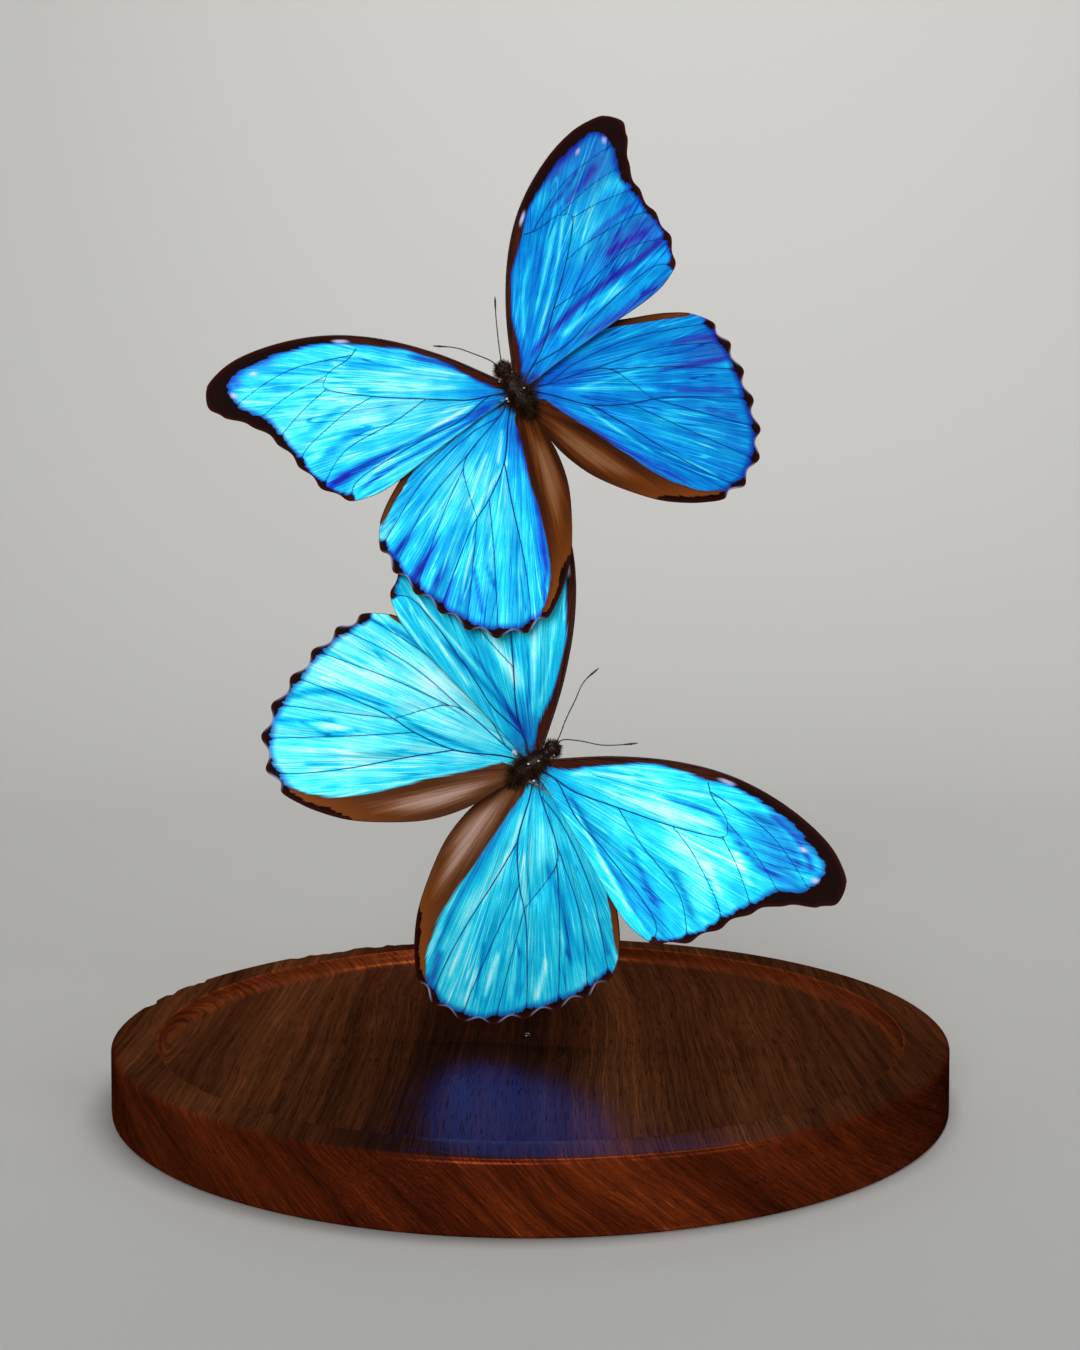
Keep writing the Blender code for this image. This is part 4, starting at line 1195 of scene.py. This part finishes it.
def hairs(name, roots, ways, lengths, width, shade, rng, look):
    """Return many hairs as one joined mesh: copies of one hair, bent and set along their ways."""
    template, faces = hair_template()
    count = len(roots)
    ways = ways / np.linalg.norm(ways, axis=1)[:, None]
    helper = np.where(np.abs(ways[:, 2:3]) < 0.9, (0.0, 0.0, 1.0), (1.0, 0.0, 0.0))
    side = np.cross(helper, ways)
    side /= np.linalg.norm(side, axis=1)[:, None]
    spin = rng.uniform(0, tau, count)[:, None]
    third = np.cross(ways, side)
    u = side * np.cos(spin) + third * np.sin(spin)
    v = -side * np.sin(spin) + third * np.cos(spin)
    bend = HAIR_BEND * template[:, 2] ** 2
    points = (
        roots[:, None, :]
        + u[:, None, :] * (template[None, :, 0:1] * width + bend[None, :, None] * lengths[:, None, None])
        + v[:, None, :] * template[None, :, 1:2] * width
        + ways[:, None, :] * template[None, :, 2:3] * lengths[:, None, None]
    )
    corners = [tuple(i + n * len(template) for i in face) for n in range(count) for face in faces]
    mesh = bpy.data.meshes.new(name)
    mesh.from_pydata(points.reshape(-1, 3).tolist(), [], corners)
    paint(mesh, "strand", np.repeat(shade, len(template)) + np.tile(0.08 * template[:, 2], count))
    mesh.materials.append(look)
    return linked(name, mesh)


def make_body(insect, settings, looks):
    """Make the head with its eyes and palps, the thorax and the stub, all in short hair."""
    heading = radians(BUTTERFLIES[insect]["heading"])
    head = np.array((cos(heading), 0.0, sin(heading)))
    centre = np.array(thorax(insect))
    run = smooth_run(((0.05, 8.45),) + BODY_PROFILE + ((0.05, -7.3),), 0.5)
    skin = [(max(0.02, r) * MM, z * MM) for r, z in run]
    shape = spun([(0.0, 8.5 * MM)] + skin + [(0.0, -7.35 * MM)], 40)
    turn = Matrix.Translation(thorax(insect)) @ Matrix.Rotation(pi / 2 - heading, 4, "Y")
    bmesh.ops.transform(shape, matrix=turn, verts=shape.verts)
    parts = [linked(insect + "_shell", mesh_of(shape, insect + " shell", looks["shell"]))]

    for side in (-1, 1):
        eye = bmesh.new()
        bmesh.ops.create_uvsphere(eye, u_segments=20, v_segments=12, radius=1.0 * MM)
        spot = Matrix.Translation((side * EYE_SPOT[0] * MM, EYE_SPOT[1] * MM, EYE_SPOT[2] * MM))
        oval = Matrix.Diagonal((*EYE_SHAPE, 1.0))
        bmesh.ops.transform(eye, matrix=turn @ spot @ oval, verts=eye.verts)
        parts.append(linked("eye", mesh_of(eye, "eye", looks["eye"])))
        palp = np.array([(side * x, y, z) for x, y, z in PALP_PATH]) * MM
        palp = [turn @ Vector(p) for p in palp]
        parts.append(tube_object("palp", palp, np.array(PALP_RADII) * MM, looks["shell"], 2))

    rng = np.random.default_rng(settings.seed + (1 if insect == "upper" else 2))
    count = settings.body_hairs
    places = rng.uniform(-7.0, 8.4, count)
    stations = np.array(BODY_PROFILE)[::-1]
    radius = np.interp(places, stations[:, 1], stations[:, 0])
    around = rng.uniform(0, tau, count)
    side = np.array((head[2], 0.0, -head[0]))
    back = np.array((0.0, -1.0, 0.0))
    out = side * np.cos(around)[:, None] + back * np.sin(around)[:, None]
    roots = centre + (head * places[:, None] + out * radius[:, None] * 0.95) * MM
    lean = rng.normal(0.0, 0.5, (count, 3))
    ways = out - head * np.where(places > 5.0, -0.45, 0.6)[:, None] + lean
    shorter = np.interp(places, (-7, -4, 3, 6, 8), (0.7, 1, 1, 0.6, 0.4))
    lengths = rng.uniform(*BODY_HAIR_LENGTHS, count) * shorter * MM
    clump = 0.2 * np.sin(1.7 * places + 2.5 * np.cos(2.0 * around))
    shade = np.clip(rng.normal(0.34, 0.2, count) + clump, 0.0, 0.8)
    for x, y, z, radius in PALE_FLECKS[insect]:
        fleck = bmesh.new()
        bmesh.ops.create_icosphere(fleck, subdivisions=2, radius=radius * MM)
        bmesh.ops.scale(fleck, verts=fleck.verts, vec=(1.0, 0.6, 0.8))
        bmesh.ops.translate(fleck, verts=fleck.verts, vec=thorax(insect) + Vector((x, y, z)) * MM)
        parts.append(linked("fleck", mesh_of(fleck, "fleck", looks["fleck"])))
    parts.append(hairs("body_hair", roots, ways, lengths, BODY_HAIR_WIDTH * MM, shade, rng, looks["fur"]))
    return finish_piece(joined(insect + "_insect_body", parts), "fur", insect + "_body")


def make_feelers():
    """Make the clubbed antennae and the bent leg."""
    chitin, straw = plain_look("ringed antenna chitin"), plain_look("pale dried leg chitin")
    for name, (insect, path) in FEELERS.items():
        run = smooth_run(path, 0.4)
        points = run * MM + np.array(thorax(insect))
        share = np.linspace(0.0, 1.0, len(points))
        if name.endswith("antenna"):
            slot, look = "antennae", chitin
            radii = np.interp(share, *ANTENNA_RADII)
            radii = radii * (1.0 + ANTENNA_RINGING * np.sin(np.arange(len(points)) * pi / 1.5))
        else:
            slot, look = "leg", straw
            radii = np.interp(share, *LEG_RADII)
        piece = tube_object(name + "_shaft", points, radii * MM, look, 3)
        finish_piece(piece, slot, name)


def make_stage(settings):
    """Set the pale floor and backdrop, the soft lights and the camera."""
    scene = bpy.context.scene
    sweep = bmesh.new()
    bend = arc((0.5, SWEEP_BEND), SWEEP_BEND, -90, 0, 32)
    profile = [(-5.0, 0.0), (0.0, 0.0)] + bend + [(1.7, 4.0)]
    verts = [sweep.verts.new((-SWEEP_WIDTH / 2, y, z)) for y, z in profile]
    edges = [sweep.edges.new(pair) for pair in zip(verts, verts[1:])]
    moved, _ = drawn_on(sweep, edges)
    bmesh.ops.translate(sweep, verts=moved, vec=(SWEEP_WIDTH, 0.0, 0.0))
    bmesh.ops.recalc_face_normals(sweep, faces=sweep.faces)
    paper, _ = new_look("pale studio paper")  # matt seamless paper: even and without gloss
    finished(paper, {"Base Color": (*settings.paper_colour, 1.0), "Roughness": 0.9})
    mesh = mesh_of(sweep, "studio sweep", paper)
    mesh.shade_smooth()
    floor = linked("studio_sweep", mesh)
    floor.visible_glossy = False

    world = bpy.data.worlds.new("studio air")
    scene.world = world
    world.use_nodes = True
    feed(world.node_tree.nodes["Background"], {"Color": AIR_COLOUR, "Strength": settings.air_strength})
    world.cycles_visibility.glossy = False

    for name, place, aim, size, power in SOFTBOXES:
        lamp = bpy.data.lights.new(name, "AREA")
        lamp.size = size
        lamp.energy = getattr(settings, power)
        made = bpy.data.objects.new(name, lamp)
        made.location = place
        made.rotation_euler = (Vector(aim) - Vector(place)).to_track_quat("-Z", "Y").to_euler()
        scene.collection.objects.link(made)

    camera = bpy.data.cameras.new("camera")
    camera.sensor_fit = "VERTICAL"
    camera.sensor_height = SENSOR_MM
    camera.lens = LENS_MM
    made = bpy.data.objects.new("camera", camera)
    made.location = EYE_PLACE
    made.rotation_euler = (radians(90.0 - EYE_TILT), 0.0, 0.0)
    scene.collection.objects.link(made)
    scene.camera = made
    scene.view_settings.view_transform = "Standard"


class StageSettings(bpy.types.PropertyGroup):
    """Light and floor."""

    paper_colour: bpy.props.FloatVectorProperty(
        name="Paper colour", description="Linear colour of the floor and backdrop", subtype="COLOR",
        size=3, min=0.0, max=1.0, default=linear("#B9B8B5")[:3])
    air_strength: bpy.props.FloatProperty(
        name="Air light", description="Strength of the even light from all sides", default=0.1, min=0.0)
    front_power: bpy.props.FloatProperty(
        name="Front light", description="Power of the front softbox", default=87.0, unit="POWER")
    side_power: bpy.props.FloatProperty(
        name="Side light", description="Power of the right softbox", default=25.0, unit="POWER")
    wall_power: bpy.props.FloatProperty(
        name="Wall light", description="Power of the backdrop softbox", default=27.0, unit="POWER")


class BaseSettings(bpy.types.PropertyGroup):
    """The turned base."""

    recess_radius: bpy.props.FloatProperty(
        name="Recess radius", description="Radius of the dome's recess", default=89.25 * MM, unit="LENGTH")
    recess_depth: bpy.props.FloatProperty(
        name="Recess depth", description="Depth of the dome's recess", default=4.0 * MM, unit="LENGTH")
    chips: bpy.props.IntProperty(
        name="Chips", description="Worn chips on the back edge", default=22, min=0)
    seed: bpy.props.IntProperty(name="Seed", description="Which set of chips", default=4)


class BodySettings(bpy.types.PropertyGroup):
    """The insects' bodies."""

    body_hairs: bpy.props.IntProperty(
        name="Body hairs", description="Hairs on each body", default=4600, min=0)
    root_hairs: bpy.props.IntProperty(
        name="Root hairs", description="Hairs over the root of each wing", default=150, min=0)
    seed: bpy.props.IntProperty(name="Seed", description="Which set of hairs", default=7)


class SPECIMEN_OT_stage(bpy.types.Operator):
    """Make the studio floor, lights and camera"""

    bl_idname = "specimen.stage"
    bl_label = "Studio stage"

    def execute(self, context):
        make_stage(context.scene.specimen_stage)
        return {"FINISHED"}


class SPECIMEN_OT_base(bpy.types.Operator):
    """Make the turned wooden base"""

    bl_idname = "specimen.base"
    bl_label = "Turned base"

    def execute(self, context):
        make_base(context.scene.specimen_base)
        return {"FINISHED"}


class SPECIMEN_OT_wire(bpy.types.Operator):
    """Make the upright wire and its bead of glue"""

    bl_idname = "specimen.wire"
    bl_label = "Wire and glue"

    def execute(self, context):
        make_wire(context.scene.specimen_base)
        return {"FINISHED"}


class SPECIMEN_OT_wings(bpy.types.Operator):
    """Make the eight wings"""

    bl_idname = "specimen.wings"
    bl_label = "Wings"

    def execute(self, context):
        shared = {"underside": wing_underside(), "fringe": plain_look("brown fringe scales"),
                  "vein": plain_look("dark wing vein chitin"),
                  "rib": plain_look("brown leading edge chitin"), "fur": dark_fur(),
                  "root_hairs": context.scene.specimen_body.root_hairs}
        scales = {insect: wing_scales(insect) for insect in BUTTERFLIES}
        for insect, side_name, kind in WING_POSES:
            make_wing(insect, side_name, kind, {**shared, "scales": scales[insect]})
        return {"FINISHED"}


class SPECIMEN_OT_bodies(bpy.types.Operator):
    """Make both hairy bodies"""

    bl_idname = "specimen.bodies"
    bl_label = "Bodies"

    def execute(self, context):
        looks = {"shell": plain_look("black body chitin"), "eye": eye_lens(), "fur": dark_fur(),
                 "fleck": plain_look("pale loose scales")}
        for insect in BUTTERFLIES:
            make_body(insect, context.scene.specimen_body, looks)
        return {"FINISHED"}


class SPECIMEN_OT_feelers(bpy.types.Operator):
    """Make the antennae and the leg"""

    bl_idname = "specimen.feelers"
    bl_label = "Antennae and leg"

    def execute(self, context):
        make_feelers()
        return {"FINISHED"}


STEPS = ("stage", "base", "wire", "wings", "bodies", "feelers")


class SPECIMEN_PT_panel(bpy.types.Panel):
    """The sidebar panel"""

    bl_idname = "SPECIMEN_PT_panel"
    bl_label = "Mounted butterflies"
    bl_space_type = "VIEW_3D"
    bl_region_type = "UI"
    bl_category = "Butterflies"

    def draw(self, context):
        scene = context.scene
        for group in (scene.specimen_stage, scene.specimen_base, scene.specimen_body):
            for key in type(group).__annotations__:
                self.layout.prop(group, key)
        for step in STEPS:
            self.layout.operator("specimen." + step)


CLASSES = (
    StageSettings, BaseSettings, BodySettings, SPECIMEN_OT_stage, SPECIMEN_OT_base, SPECIMEN_OT_wire,
    SPECIMEN_OT_wings, SPECIMEN_OT_bodies, SPECIMEN_OT_feelers, SPECIMEN_PT_panel,
)


def register():
    """Register the classes and the scene's settings."""
    for item in CLASSES:
        bpy.utils.register_class(item)
    bpy.types.Scene.specimen_stage = bpy.props.PointerProperty(type=StageSettings)
    bpy.types.Scene.specimen_base = bpy.props.PointerProperty(type=BaseSettings)
    bpy.types.Scene.specimen_body = bpy.props.PointerProperty(type=BodySettings)


def unregister():
    """Remove what register added."""
    del bpy.types.Scene.specimen_stage, bpy.types.Scene.specimen_base, bpy.types.Scene.specimen_body
    for item in reversed(CLASSES):
        bpy.utils.unregister_class(item)


def main():
    """Build every piece."""
    register()
    for step in STEPS:
        getattr(bpy.ops.specimen, step)()


if __name__ == "__main__":
    main()
